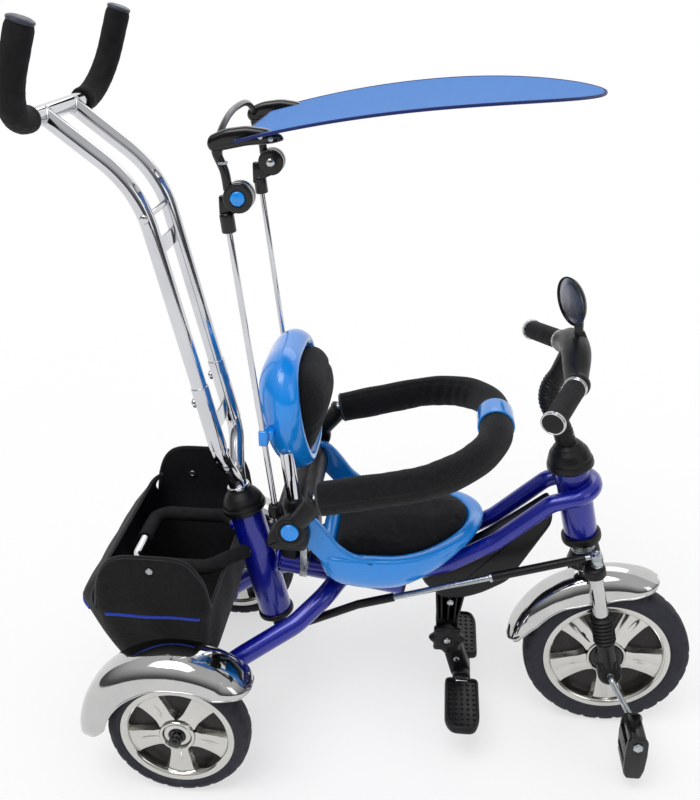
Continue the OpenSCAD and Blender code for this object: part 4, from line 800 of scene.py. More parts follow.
def on_mirror(p):
    """Rows in the mirror's own frame: x behind the glass, y across it and z up."""
    p = np.asarray(p, float)
    c, s = math.cos(MIRROR_TURN), math.sin(MIRROR_TURN)
    x, y = p[:, 0] * c, p[:, 0] * s
    return at_head(np.column_stack([MIRROR_X + x - p[:, 1] * s, y + p[:, 1] * c, MIRROR_T + p[:, 2]]))


def oval(profile, r):
    """A turned shape on the mirror's axis, narrowed sideways."""
    p, f = lathe(profile, ORIGIN, X, r=r, xref=Z)
    return on_mirror(p * [1, MIRROR_SQUEEZE, 1]), f


stalk_path = on_mirror([(0, 0, -52), (0.5, 0, -44), (2.5, 0, -34), (4.5, 0, -24), (4.5, 0, -14)])
stalk = sweep(curve(stalk_path, 24), lambda s, a: 6.4 - 0.8 * math.sin(s * math.pi) + 1.6 * s, 28)
shell = oval([(0, 6.6), (14, 6.4), (25, 4.2), (31.5, 0), (34.4, -4), (35, -6), (33.6, -6.8), (32.6, -6.2), (32.4, -3.4),
              (0, -3.4)], 1.2)
piece("mirror_body", joined(stalk, shell), GLOSS_BLACK, "mirror", "mirror_shell")
glass = Finish("mirror glass", rgb(150, 152, 160), 0.22, 0.9, coat=0.4)
glass.tint(glass.noise(16, 3), rgb(140, 142, 150), rgb(158, 160, 168))
glass.gloss(glass.noise(30, 4), 0.18, 0.26)
piece("mirror_pane", oval([(0, -3.5), (32, -3.5), (32.2, -4.6), (24, -5.3), (0, -5.8)], 0.3), glass.mat, "mirror",
      "mirror_glass", slot="mirror_face")

# Wheels

NOTCH_STEPS, NOTCH_HALF, NOTCH_SLOPE = 6, 0.17, 0.05
SPOKES, SPOKE_ROWS, SPOKE_COLS = 5, 14, 17


def tyre(centre, d, w, seat, notches, depth):
    """A moulded tyre with notches across both shoulders of its tread."""
    R, S, h = d / 2, seat / 2, w / 2
    half = [(S + 0.1, h - 4), (S + 2.5, h - 1), (S + 8, h - 0.2), (R - 14, h), (R - 9, h - 1.2), (R - 5.2, h - 3.6),
            (R - 3.4, h - 6.2), (R - 3.6, h - 7.2), (R - 2.2, h - 8.2), (R - 0.9, h - 11), (R - 0.25, h - 15),
            (R, h - 19)]
    cut = [0, 0, 0, 0.25, 0.8, 1, 1, 1, 1, 0.9, 0.45, 0.0]
    prof = [(r, -y, c, 0) for (r, y), c in zip(half, cut)] + [(r, y, c, 1) for (r, y), c in zip(half[::-1], cut[::-1])]
    a = around(notches * NOTCH_STEPS)
    rings = []
    for r, y, c, s in prof:
        phase = (a * notches / (2 * np.pi) + 0.5 * s) % 1.0
        dip = np.clip((NOTCH_HALF - np.abs(phase - 0.5)) / NOTCH_SLOPE, 0, 1)
        q = r - depth * c * dip
        rings.append(np.asarray(centre) + np.outer(q * np.cos(a), X) + np.outer(q * np.sin(a), Z) + y * Y)
    return loft(rings, True)


def spoke(centre, angle, hub_r, rim_r, wide_in, wide_out, face_in, face_out, s):
    """The face on side s of a broad plated spoke with a groove down its middle."""
    v = np.linspace(-1, 1, SPOKE_COLS)
    at_edge = np.abs(v) > 0.999
    rings = []
    for t in np.linspace(0, 1, SPOKE_ROWS):
        r = hub_r - 3 + (rim_r - hub_r + 3) * t
        half = wide_in + (wide_out - wide_in) * t ** 1.2
        half = half + 4.5 * (max(0.0, t - 0.78) / 0.22) ** 2 + 3 * max(0.0, 0.2 - t) / 0.2
        lift = face_in + (face_out - face_in) * t - 2.2 * math.sin(math.pi * t)
        trough = 2.4 * np.exp(-(v / 0.2) ** 2) * math.sin(math.pi * min(1, t * 1.02)) ** 0.6
        z = np.where(at_edge, 2.2, lift - trough - 1.6 * np.abs(v) ** 3.5)
        rings.append(np.column_stack([np.full(SPOKE_COLS, r), v * half * np.where(at_edge, 1.04, 1.0), z]))
    p = np.vstack(rings)
    c, d = math.cos(math.radians(angle)), math.sin(math.radians(angle))
    place = (np.asarray(centre) + np.outer(p[:, 0] * c - p[:, 1] * d, X) + np.outer(p[:, 0] * d + p[:, 1] * c, Z)
             + np.outer(s * p[:, 2], Y))
    faces = grid_faces(SPOKE_ROWS, SPOKE_COLS, False)
    a, b, e = (place[i] for i in faces[SPOKE_COLS // 2][:3])
    return place, faces if np.cross(b - a, e - a)[1] * s > 0 else [f[::-1] for f in faces]


def wheel(centre, seat, w, hub_r, bore, first, hub_rings):
    """A plated rim: flange, spokes on each side from the angle first, hub and the dark web behind them."""
    R, f = seat / 2 - 0.1, w / 2 - 4

    def turned(profile, n=96, r=0.8):
        return lathe(profile, centre, Y, n, r, True, xref=X)

    flange = [(R - 11, -f + 7), (R - 10.4, -f + 2.6), (R - 8, -f), (R - 1.4, -f - 0.6), (R + 0.6, -f - 0.2),
              (R, -f + 3)]
    hub = [(bore, -f + 7), (hub_r - 6, -f + 7), *[(r, -f + 7 - h) for r, h in hub_rings], (hub_r, -4)]
    spokes = [spoke(centre, first + 360 / SPOKES * i, hub_r, R - 9.5, hub_r * 0.5, R * 0.265, f - 3.5, f - 5.5, s)
              for s in (-1, 1) for i in range(SPOKES)]
    web = turned(rect(bore + 2, -2.4, R - 6, 2.4), r=0.4)
    return joined(turned(there_back(flange)), *spokes, turned(there_back(hub), 72), kind(web, 1))


def at_front_hub(shapes):
    return [(p + FRONT_HUB, f) for p, f in shapes]


FRONT_D, FRONT_W, FRONT_SEAT, FRONT_HUB_R = 250, 46, 190, 30.0
REAR_D, REAR_W, REAR_SEAT, REAR_HUB_R, REAR_Y = 205, 44, 164, 26.0, 206
front_hub_rings = [(25.6, 1), (25.8, 5.6), (27, 6.6), (29.2, 6.2), (30, 4)]
piece("front_tread", tyre(FRONT_HUB, FRONT_D, FRONT_W, FRONT_SEAT, 30, 2.6), TYRE, "front_wheel", "front_tyre", 32)
piece("front_wheel_disc", wheel(FRONT_HUB, FRONT_SEAT, FRONT_W, FRONT_HUB_R, 5.2, -10, front_hub_rings),
      [PLATED, WINDOW], "front_wheel", "front_rim", 34)
hub_cap = cross([(5.2, 12.2), (24.6, 12.2), (24.6, 17.2), (22.6, 18.4), (18, 18.8), (16.4, 17.4), (13, 17.6),
                 (11.6, 19.6), (5.2, 20)], 0, 0, closed=True)
piece("front_hub_caps", joined(*at_front_hub(pairs(hub_cap))), GLOSS_BLACK, "front_wheel", "front_hub_cover")

rear_hub_rings = [(20.6, 1), (20.8, 6.4), (22, 8), (24.6, 8), (26, 6)]
rear_cap = [(12.2, 11.4), (20.2, 11.4), (20.2, 14.4), (18.8, 16.2), (13.6, 17.6), (12.2, 17)]
rear_plug = [(9.4, 11.4), (12, 11.4), (12, 18), (10.8, 18.8), (9.4, 18.4)]
for name, s in SIDES:
    hub = arr(0, s * REAR_Y, REAR_R)
    body = "rear_wheel_" + name
    piece("rear_tread_" + name, tyre(hub, REAR_D, REAR_W, REAR_SEAT, 26, 1.7), TYRE, body, "rear_tyre_" + name, 32)
    piece("rear_wheel_disc_" + name, wheel(hub, REAR_SEAT, REAR_W, REAR_HUB_R, 6.2, -18, rear_hub_rings),
          [PLATED, WINDOW], body, "rear_rim_" + name, 34)
    piece("rear_hub_cap_" + name, joined(lathe(rear_cap, hub, s * Y, 48, 0.7, True),
                                         kind(lathe(rear_plug, hub, s * Y, 40, 0.5, True), 1)),
          [PLATED, GLOSS_BLACK], body, slot="black_plastic")

# Cranks and pedals

TIP = arr(27.5317, 0, -39.3193)
PEDAL_IN, PEDAL_W = 106.0, 54.0
PEDAL_OUT = PEDAL_IN + PEDAL_W


def at_tip(y):
    return TIP + [0, y, 0]


crank = route([at_tip(-PEDAL_IN - 6), at_tip(-PEDAL_IN + 7), arr(0, -70, 0), arr(0, -54, 0)], 8, 6, 4)
spindle_end = [(0, 0), (7.6, 0), (7.6, 2), (6, 3.4), (0, 3.8)]
cranks = [bar(arr(0, -62, 0), arr(0, 62, 0), 5, 28)]
for p, f in (sweep(crank, 4.5, 24), bar(at_tip(-PEDAL_OUT - 1.6), at_tip(-PEDAL_IN + 2), 5, 28),
             lathe(spindle_end, at_tip(-PEDAL_OUT - 0.8), -Y, 6, 0.5)):
    cranks += [(p, f), (-p, [q[::-1] for q in f])]
piece("cranks", joined(*at_front_hub(cranks)), ZINC, "front_wheel", "crank_axle")

PEDAL_SIDE = [(9.5, 14), (11.8, 11), (12.6, 6), (12.6, -1), (11.0, -2), (11.0, -4.4), (14.6, -5.4)]
for k in range(4):
    z = -6 - 5.6 * k
    PEDAL_SIDE += [(15.4, z), (15.4, z - 3.4), (13.4, z - 3.9), (13.4, z - 5.2)]
PEDAL_SIDE += [(13.2, -29.6), (10.2, -33), (9.8, -37), (12.6, -40.4), (14.4, -42), (14.4, -46), (12.8, -46.6),
               (12.8, -48.2), (14.2, -48.8), (13.6, -53), (11.8, -58), (9, -60)]
PEDAL_PLATE = [(-10.4, 14), (-14.8, 8), (-15.8, -18), (-14.6, -44), (-10.4, -60)]
PEDAL_PANEL = [(-6.6, -14), (-8.4, -30), (-6.2, -50)]
PLATE_W = 4.6


def pedal(s):
    hub = FRONT_HUB - s * TIP

    def put(p):
        return np.column_stack([p[:, 0], s * p[:, 2], p[:, 1]]) + hub

    plate, panel = there_back(PEDAL_PLATE, -1, 1), there_back(PEDAL_PANEL, -1, 1)
    return joined(
        slab(there_back(PEDAL_SIDE, -1, 1), PEDAL_IN + 4, PEDAL_OUT - 4, 0.5, 0.5, put, 2),
        *[slab(plate, PEDAL_IN + a, PEDAL_IN + b, 1.6, 4, put, 5)
          for a, b in ((0, PLATE_W), (PEDAL_W - PLATE_W, PEDAL_W))],
        slab(panel, PEDAL_OUT - 0.6, PEDAL_OUT + 0.5, 0.5, 3, put, 4),
        lathe([(5.2, 0), (8.8, 0), (8.8, 1.0), (7.6, 1.6), (5.2, 1.6)], hub + [0, s * (PEDAL_OUT - 1), 0], s * Y, 36,
              0.4, True))


for name, s in SIDES:
    piece("pedal_block_" + name, pedal(s), GLOSS_BLACK, "pedal_" + name, "pedal_" + name, 30)

# Push pole

lever = [(-13, 5), (-13, -6), (-6, -14), (5.6, -50), (10, -57), (18, -57), (22.4, -50), (15, -10), (13, 5), (6, 13),
         (-6, 13)]
piece("pole_shaft_rod", joined(
    along_col(rect(0, -6, SHAFT_R, 228), n=40),
    slab(lever, -6, 3, 1.4, 5, at_col, 5),
    along_col([(0, -5), (4, -5), (4, 14), (2.6, 15), (0, 15)], LINK_X, LINK_Y, 28)), ZINC, "push_pole", "pole_shaft")
piece("pole_cap", along_col(
    [(BUSH_R, 202.2), (32.4, 202.2), (33, 204), (33, 209.5), (31.6, 211.6), (30.8, 213), (31, 215), (29.2, 219.6),
     (25, 226.6), (20.6, 232), (18, 235), (17, 237.6), (BUSH_R, 238)], n=72, r=1.4, closed=True), BLACK, "push_pole",
    "pole_dome")

FOOT_T, SOCKET_T, BUTTON_T, JOINT_T, POLE_X, POLE_Y = 238.1, 330.0, 403, 425.0, 6.0, 50.0
PLATE_HALF, PLATE_Y = 2, POLE_Y - 11.7
lower_path = [(0, -7.8, FOOT_T + 1.5), (1, -10, FOOT_T + 22), (POLE_X, -POLE_Y, 310), (POLE_X, -POLE_Y, 342)]
socket = [(11.2, SOCKET_T), (12.5, SOCKET_T), (12.5, JOINT_T - 1), (12.1, JOINT_T), (11.2, JOINT_T)]
button_boss = [(4.2, 0), (6.6, 0), (7, 2), (7, 4.3), (4.2, 4.3)]
button = [(0, 0), (3, 0), (4, 1.2), (4, 3), (0, 3)]


def pinched(s, ring):
    """The tube's foot is pressed flat where the two tubes meet."""
    k = max(0.0, 1 - s / 0.45) ** 1.5
    return ring - np.outer(ring @ Y * 0.4 * k, Y)


def pole_plate(half_y, low, high):
    """A plate between the two tubes."""
    return slab(rect(POLE_X - PLATE_HALF, -half_y, POLE_X + PLATE_HALF, half_y), low, high, 0.8, 0.8, at_col)


piece("pole_lower_tubes", joined(
    *pairs(sweep(route([at_col(p) for p in lower_path], 50, 3, 5), 11.5, 36, squash=pinched),
           along_col(socket, POLE_X, -POLE_Y, 44, 0.5, True),
           lathe(button_boss, at_col([POLE_X - 15.4, -POLE_Y, BUTTON_T]), LEAN_X, 28, 0.6, True)),
    along_col([(0, FOOT_T), (16.4, FOOT_T), (17, 239.2), (17, 242), (15.6, 243.4), (0, 244)], n=64, r=1.0),
    pole_plate(PLATE_Y, 346, 368)), BRIGHT_TUBE, "push_pole", "pole_tubes")
piece("pole_spring_buttons", joined(*pairs(
    lathe(button, at_col([POLE_X - 17.5, -POLE_Y, BUTTON_T]), LEAN_X, 28, 0.8))),
    CHROME, "pole_buttons", "pole_buttons")

BAR_BACK, BEND_T, CROSS_T, PIN_T, PRONG, PRONG_BEND, HANDLE_R = -84.0, 702.0, 814.0, 664, 166.0, 70, 11
tube_low, tube_bend, tube_top = (at_col(p) for p in [
    (POLE_X, -POLE_Y, JOINT_T - 30), (POLE_X, -POLE_Y, BEND_T), (BAR_BACK, -POLE_Y, CROSS_T)])
prong = [at_col(p) for p in [(BAR_BACK + 62, -PRONG, CROSS_T + 100), (BAR_BACK, -PRONG, CROSS_T)]]
prong_st = route(prong + [flip(p) for p in prong[::-1]], PRONG_BEND, 4, 12)
tube_weld = ring_joint(route([tube_top, tube_bend], 1, 5, 2), HANDLE_R, at_col((BAR_BACK, 0, CROSS_T)), Y, HANDLE_R)
pin_head = [(0, 0), (6, 0), (6, 2.4), (4.6, 3.6), (0, 4)]
piece("handle_frame", joined(
    *pairs(sweep(route([tube_low, tube_bend, tube_top], 150, 3, 12), HANDLE_R, 36)),
    sweep(prong_st, HANDLE_R, 36),
    *pairs(bead(tube_weld, 1.8, 0.2)),
    pole_plate(POLE_Y - 8, 610, 630),
    bar(at_col((POLE_X, -POLE_Y, PIN_T)), at_col((POLE_X, POLE_Y, PIN_T)), 4, 24),
    *pairs(lathe(pin_head, at_col((POLE_X, -POLE_Y - 10.4, PIN_T)), -Y, 24, 0.8))),
    BRIGHT_TUBE, "push_handle", "handle_tubes")


def foam_size(s, a):
    """The grip's radius: rounded ends and a little unevenness."""
    ends = min(1.0, min(s, 1 - s) * 55)
    return 16.5 - 1.6 * (1 - math.sqrt(max(0.0, ends * (2 - ends)))) + 0.18 * math.sin(s * 97) * math.sin(s * 31)


foam_st = route([*prong, at_col((BAR_BACK, -88, CROSS_T))], PRONG_BEND, 3, 6)
o = piece("handle_grips", joined(*pairs(sweep(foam_st, foam_size, 44, bore=11.4))), FOAM, "push_handle",
          "handle_foam", 50)
plug = lathe([(0, 0.1), (15.6, 0.1), (16.3, 1.6), (15.8, 3.6), (12, 5.4), (0, 6)], prong[0], unit(prong[0] - prong[1]),
             44, 1.2)
piece("handle_plugs", joined(*pairs(plug)), plastic("plug plastic", rgb(58, 62, 76), 0.28, 600), "push_handle",
      slot="black_plastic")

# Steering link

LINK_R, LINK_SLEEVE_R, LINK_BEND, EYE_GAP = 4.5, 6.5, 40, 7
link_front, link_rear = arr(578.082, LINK_Y, 328.794), arr(120.977, LINK_Y, 160.36)
link_knee = arr(240, LINK_Y, 219)
front_dir, rear_dir = unit(link_knee - link_front), unit(link_rear - link_knee)
rod_front, rod_rear = link_front + front_dir * EYE_GAP, link_rear - rear_dir * EYE_GAP
cover_end = link_front + front_dir * 150
eye_line = there_back([(4.1, -4), (8.4, -4), (9, -3)])
rear_cover_st = route([link_knee - front_dir * 56, link_knee, rod_rear - rear_dir * 8], LINK_BEND, 4, 6)
front_cover_st = route([rod_front + front_dir * 8, cover_end], 1, 5, 6)
piece("link_rod", joined(
    *[lathe(eye_line, p, LEAN_Z, 40, 0.7, True) for p in (link_front, link_rear)],
    sweep(route([rod_front, link_knee, rod_rear], LINK_BEND, 4, 12), LINK_R, 28),
    kind(sweep(rear_cover_st, LINK_SLEEVE_R, 28, 4.9), 1),
    kind(sweep(front_cover_st, LINK_SLEEVE_R, 28, 4.6), 1),
    lathe(rect(4.7, 0, 6.9, 5), cover_end, front_dir, 28, 0.6, True)), [ZINC, BLACK], "tie_rod", "tie_rod")

# Rear mudguards

REAR_EDGE = [(38, 128), (47, 121), (56, 109), (70, 106), (86, 102), (104, 102), (120, 100), (166, 100), (176, 108),
             (184, 118)]
LUG_Y = -164.0
rivet = [(0, 0), (4.4, 0), (4.2, 1.4), (2.6, 2.4), (0, 2.6)]
piece("rear_fenders", joined(*pairs(
    *guard_sheet(arr(0, -REAR_Y, REAR_R), 141.5, 42, REAR_EDGE, 40, 182, 84),
    slab(rect(-9, REAR_R + 22, 9, REAR_R + 122), LUG_Y - 3, LUG_Y - 0.6, 0.7, 2, side),
    cross(rect(21.2, LUG_Y - 3, 30, LUG_Y), 0, REAR_R, 56, 0.6, True),
    *[lathe(rivet, arr(x, LUG_Y - 0.6, REAR_R + 108), Y, 20, 0.5) for x in (-4.5, 4.5)])),
    CHROME, "chassis", "rear_mudguards")

# Footrest

FOOT_X, FOOT_Z, EAR, LUG = 376.0, 150.0, 20.0, 12.0
yoke_top = [(FOOT_X + 25, 233), (FOOT_X - 21, 229)]
ear_line = [(FOOT_X - 18, FOOT_Z - 6), (FOOT_X - 9, FOOT_Z - 17), (FOOT_X + 7, FOOT_Z - 17), (FOOT_X + 16, FOOT_Z - 6),
            (FOOT_X + 16, FOOT_Z + 30), *yoke_top, (FOOT_X - 18, FOOT_Z + 30)]
yoke_line = [(FOOT_X - 17, FOOT_Z + 26), (FOOT_X + 15, FOOT_Z + 26), *yoke_top]
boss_rim = cross([(6.2, -EAR - 0.4), (14, -EAR - 0.4), (14.6, -EAR + 1), (13, -EAR + 1.4), (6.2, -EAR + 1.4)],
                 FOOT_X, FOOT_Z, 40, 0.5, True)
ear_ribs = []
for x in (-9, 0, 9):
    rib = [(FOOT_X + x - 1.4, FOOT_Z + 22), (FOOT_X + x + 1.4, FOOT_Z + 22), (FOOT_X + x * 1.3 + 1.4, 224),
           (FOOT_X + x * 1.3 - 1.4, 224)]
    ear_ribs.append(slab(rib, -EAR - 1.2, -EAR + 1.5, 0.8, 1, side))
piece("footrest_hanger", joined(
    *pairs(slab(ear_line, -EAR, -LUG - 0.5, 2, 7, side, 5)), slab(yoke_line, -EAR, EAR, 3, 4, side), *pairs(boss_rim),
    *ear_ribs, *[mirrored(r) for r in ear_ribs]), BLACK, "chassis", "footrest_bracket")

ARM_X, ARM_Z, PAD_Z = 402.0, 70.0, 78.0
arm_line = [(FOOT_X - 14, FOOT_Z - 4), (FOOT_X - 10, FOOT_Z + 11), (FOOT_X + 10, FOOT_Z + 11), (FOOT_X + 14, FOOT_Z),
            (ARM_X + 15, ARM_Z + 2), (ARM_X + 9, ARM_Z - 11), (ARM_X - 10, ARM_Z - 11), (ARM_X - 16, ARM_Z - 4)]


def pad_put(p):
    """(x, y, height) rows of the pad."""
    return p + [0, 0, PAD_Z]


PAD_BEVEL, PAD_CORNER, PAD_STEPS = 2.6, 10, 6
pad_line = [(376, -30), (428, -30), (428, -118), (420, -140), (386, -140), (376, -122)]
pad_rim = inset(rounded(pad_line, PAD_CORNER, PAD_STEPS), PAD_BEVEL)
rim_st = stations_of(pad_put(np.column_stack([pad_rim, np.full(len(pad_rim), -2.4)])))
pad_parts = [slab(pad_line, -13, -3.2, PAD_BEVEL, PAD_CORNER, pad_put, PAD_STEPS), sweep(rim_st, 2.3, 12, closed=True)]
stud = [(0, 0), (2.6, 0), (2.2, 1.8), (0, 2.2)]
for i in range(5):
    for j in range(9):
        x, y = 384 + 9 * i, -44 - 10.5 * j
        if y >= -128 or i not in (0, 4):
            pad_parts.append(lathe(stud, pad_put(arr(x, y, -3.6)), Z, 12, 0.4))
strut = slab(rect(ARM_X - 11, -8, ARM_X + 11, 5.6), -36, -10, 2.4, 3,
             lambda p: np.column_stack([p[:, 0], p[:, 2], ARM_Z + p[:, 1]]))
arm_bolt = lathe([(0, 0), (4.8, 0), (4.6, 1.6), (3, 2.6), (0, 2.9)], arr(393, -LUG + 0.1, 98), -Y, 28, 0.5)
piece("footrest_pads", joined(
    slab(arm_line, -LUG + 0.2, LUG - 0.2, 3, 6, side, 5),
    cross(there_back([(0, -26), (13.2, -26), (14, -23)]), ARM_X, ARM_Z, 44, 1.5),
    cross(there_back([(6.2, -LUG), (15, -LUG), (16, -LUG + 2)]), FOOT_X, FOOT_Z, 44, 0.8, True),
    *pairs(*pad_parts, kind(strut, 1), kind(arm_bolt, 1))), [BLACK, ZINC], "footrest", "footrest")

KNOB_IN = 20.4


def lobes(a, h):
    return 1 + 0.1 * np.cos(8 * a) + 0.015 * np.cos(16 * a)


knob_body = lathe([(6.2, 0), (19, 0), (22.4, 1.6), (24.8, 4), (25.4, 8), (24, 12.4), (20, 14.6), (13, 15.4), (8, 15.6),
                   (7.4, 14.2), (0, 14.2)], arr(FOOT_X, -KNOB_IN, FOOT_Z), -Y, 112, 1.2, wave=lobes, xref=X)
knob_bolt = lathe([(0, 0), (5.6, 0), (5.4, 1.6), (3.6, 2.6), (0, 2.8)], arr(FOOT_X, -KNOB_IN - 14.1, FOOT_Z), -Y, 6,
                  0.5)
piece("star_knob", joined(knob_body, kind(knob_bolt, 1)), [BLACK, ZINC], "footrest_knob", "footrest_knob", 50)

# Fasteners

STRAP_X, STRAP_W, STRAP_R = 149.0, 11.0, SPINE_R + 2.4
strap_band = lathe(rect(SPINE_R + 0.1, 0, STRAP_R, STRAP_W), spine_at(STRAP_X), spine_dir, 56, 0.4, True)
strap_side = slab(rect(STRAP_X, SPINE_Z - 8, STRAP_X + STRAP_W, 365.6), -STRAP_R, -SPINE_R - 0.4, 0.5, 1.5, side)
strap_bolt = cross([(0, -SPINE_R - 7.4), (3.4, -SPINE_R - 7.4), (5, -SPINE_R - 6), (5, -STRAP_R), (0, -STRAP_R)],
                   STRAP_X + STRAP_W / 2, SPINE_Z + 62, 6, 0.4)
axle_nut = cross([(0, -239), (3.4, -238.6), (5.4, -237), (8.6, -236.6), (9, -235.4), (9, -231), (0, -231)], 0, REAR_R,
                 40, 0.6)
foot_bolt = cross([(0, -KNOB_IN - 9), (5, -KNOB_IN - 9), (5, EAR + 0.4), (9, EAR + 0.4), (9, EAR + 4.6), (7.6, EAR + 6),
                   (0, EAR + 6)], FOOT_X, FOOT_Z, 36, 0.4)
ear_bolt = lathe([(0, 0), (5.4, 0), (5.2, 1.8), (3.4, 3), (0, 3.3)], arr(FOOT_X + 2, -EAR - 1.2, 212), -Y, 28, 0.6)
piece("bolts_and_straps", joined(
    strap_band, *pairs(strap_side, strap_bolt, kind(axle_nut, 1)), foot_bolt, *pairs(ear_bolt)), [ZINC, GLOSS_BLACK],
    "chassis", "fasteners", slot="chrome_steel")

# Seat

SEAT_N = 160
PLAN_MIDDLE = arr(284, 0)


def egg(x, half_l, half_w, rear_x, rear_w, corner):
    """An outline with an elliptic nose in front of x and a rounded square end behind it."""
    nose = [(x + half_l * math.cos(a), half_w * math.sin(a)) for a in np.linspace(-math.pi / 2, math.pi / 2, 61)]
    rear = soften(there_back([(x, half_w), (rear_x, rear_w)]), corner, False, 24)
    return even(np.vstack([nose, rear[1:-1]]), SEAT_N)


rim_line, floor_line = egg(270, 149, 113, 187, 122, 60), egg(262, 85, 82, 221, 90, 40)
at_nose = np.clip((rim_line[:, 0] - 330) / 70, 0, 1)


def along_rim(table):
    """Heights given at some distances forward, smoothed along the seat's rim."""
    z = np.interp(rim_line[:, 0], *zip(*table))
    for _ in range(10):
        z = (np.roll(z, 1) + 2 * z + np.roll(z, -1)) / 4
    return z


def seat_rim(d, z):
    """A ring of the seat at a distance in from its rim."""
    return np.column_stack([inset(rim_line, d), z])


def seat_floor(k, z, nose_z):
    """A ring of the seat on its floor, at a share of the floor's size."""
    return np.column_stack([PLAN_MIDDLE + (floor_line - PLAN_MIDDLE) * k, z + (nose_z - z) * at_nose])


rim_top = along_rim([(187, 347), (262, 341), (300, 340.5), (340, 345), (380, 354), (419, 362)])
rim_low = along_rim([(187, 298), (225, 288), (262, 279.5), (308, 283.5), (354, 301), (392, 326), (419, 338)])
# Distance in from the rim, and the share of the wall's height there, from the underside over the rim to the floor.
SEAT_WALL = [(26, -.01), (20, .015), (14.5, .075), (9, .19), (4.6, .335), (1.8, .5), (.4, .66), (0, .8), (0, .87),
             (.6, .925), (2, .965), (5, .99), (9, 1), (13.5, .997), (17, .97), (19.5, .925), (21, .87), (22.2, .8),
             (24, .66), (26, .54)]
seat_rings = [seat_floor(.1, 299.2, 299.2), seat_floor(.62, 299.2, 299.2), seat_floor(.97, 288, 298.8)]
seat_rings += [seat_rim(d, rim_low + (rim_top - rim_low) * h) for d, h in SEAT_WALL]
seat_rings += [seat_floor(.96, 309, 307.5), seat_floor(.6, 305.5, 305.5), seat_floor(.1, 305, 305)]
wing = [(270, 336), (262, 327), (250, 319), (236, 314), (222, 315), (208, 322), (192, 335), (178, 351), (164, 366),
        (150, 372), (143, 382), (143, 394), (154, 405), (168, 409.5), (179, 406), (191, 395), (204, 378), (217, 360),
        (232, 348), (250, 342)]
piece("bucket_seat", joined(loft(seat_rings), *pairs(slab(wing, -114, -102, 4, 7, side, 6))), AZURE, "chassis",
      "seat_shell", 60)

# Cushions

PILLOW_ROWS, PILLOW_COLS, UNDER, TUCK = 40, 88, 0.2, 0.16


def pillow(half_u, half_v, low, high, narrow, power, put):
    """A stuffed pad: a flat underside, sides that pull in between the corners and a crowned top. put places (u, v,
    height) rows. UNDER is the share of its rings on the underside, and TUCK the part of the side below its widest
    ring."""
    a = around(PILLOW_COLS)
    cu, cv = (np.sign(w) * np.abs(w) ** power for w in (np.cos(a), np.sin(a)))
    pull = 1 - 0.035 * (np.cos(2 * a) ** 2)
    rings = []
    for k in range(PILLOW_ROWS):
        t = k / (PILLOW_ROWS - 1)
        b = (t - UNDER) / (1 - UNDER) * math.pi / 2 * (1 + TUCK) - TUCK * math.pi / 2
        if t < UNDER:
            share, h = 0.12 + 0.78 * t / UNDER, low
        elif b > 0:
            share = math.cos(b) ** 0.62 if b < math.pi / 2 else 0.0
            h = low + (high - low) * (0.30 + 0.70 * math.sin(b))
        else:
            rise = 1 + b / (TUCK * math.pi / 2)
            share, h = 0.9 + 0.1 * rise, low + (high - low) * 0.30 * rise ** 0.8
        share = max(share, 0.02)
        u, v = half_u * cu * pull * share, half_v * cv * pull * share
        v = v * (1 - narrow * (u / half_u + 1) / 2)
        rings.append(np.column_stack([u, v, np.full(PILLOW_COLS, h)]))
    return loft(rings, put=put)


def vectors(mesh, what):
    """The mesh's places or normals as rows."""
    p = np.empty(len(mesh.vertices) * 3)
    mesh.vertices.foreach_get(what, p)
    return p.reshape(-1, 3)


VOXEL, PRESSURE, AIR_FRAMES = 0.0048, 4.0, 20


def puffed(o, limit, keep):
    """Evens out a pad's mesh and fills it with air in a short cloth simulation. keep says which rows of places stay
    where they are, and limit is the furthest that a point may move, in metres."""
    m = o.modifiers.new("even", "REMESH")
    m.mode, m.voxel_size, m.use_smooth_shade = "VOXEL", VOXEL, True
    mesh = bpy.data.meshes.new_from_object(o.evaluated_get(bpy.context.evaluated_depsgraph_get()))
    o.modifiers.clear()
    o.data = mesh
    start = vectors(mesh, "co")
    held = o.vertex_groups.new(name="held")
    held.add([int(i) for i in np.nonzero(keep(start))[0]], 1.0, "REPLACE")
    c = o.modifiers.new("air", "CLOTH")
    c.settings.use_pressure, c.settings.uniform_pressure_force = True, PRESSURE
    c.settings.vertex_group_mass = "held"
    c.settings.mass, c.settings.quality = 0.3, 6
    c.settings.tension_stiffness = c.settings.compression_stiffness = 12
    c.settings.bending_stiffness = 0.8
    c.settings.effector_weights.gravity = 0.0
    for i in range(1, AIR_FRAMES + 1):
        scene.frame_set(i)
    move = vectors(o.evaluated_get(bpy.context.evaluated_depsgraph_get()).data, "co") - start
    far = np.linalg.norm(move, axis=1)
    move *= np.minimum(1, limit / np.maximum(far, 1e-9))[:, None]
    o.modifiers.remove(c)
    scene.frame_set(1)
    o.data.vertices.foreach_set("co", (start + move).ravel())
    o.data.update()


def pressed(o, depth_of):
    """Sinks each point along its normal by depth_of(places) metres: seams and sewn channels."""
    p = vectors(o.data, "co")
    o.data.vertices.foreach_set("co", (p - vectors(o.data, "normal") * depth_of(p)[:, None]).ravel())
    o.data.polygons.foreach_set("use_smooth", np.ones(len(o.data.polygons), bool))
    o.data.update()
    m = o.modifiers.new("round", "SUBSURF")
    m.levels = m.render_levels = 1


def grooves(d, at, wide):
    """Sewn channels at some distances, each 1 deep."""
    return sum(np.exp(-((d - q) / wide) ** 2) for q in at)


def seat_seams(p):
    return (p[:, 2] > 0.353) * 0.0036 * grooves(p[:, 0] * 1000 + MIDDLE_X, (238, 296, 350), 4)


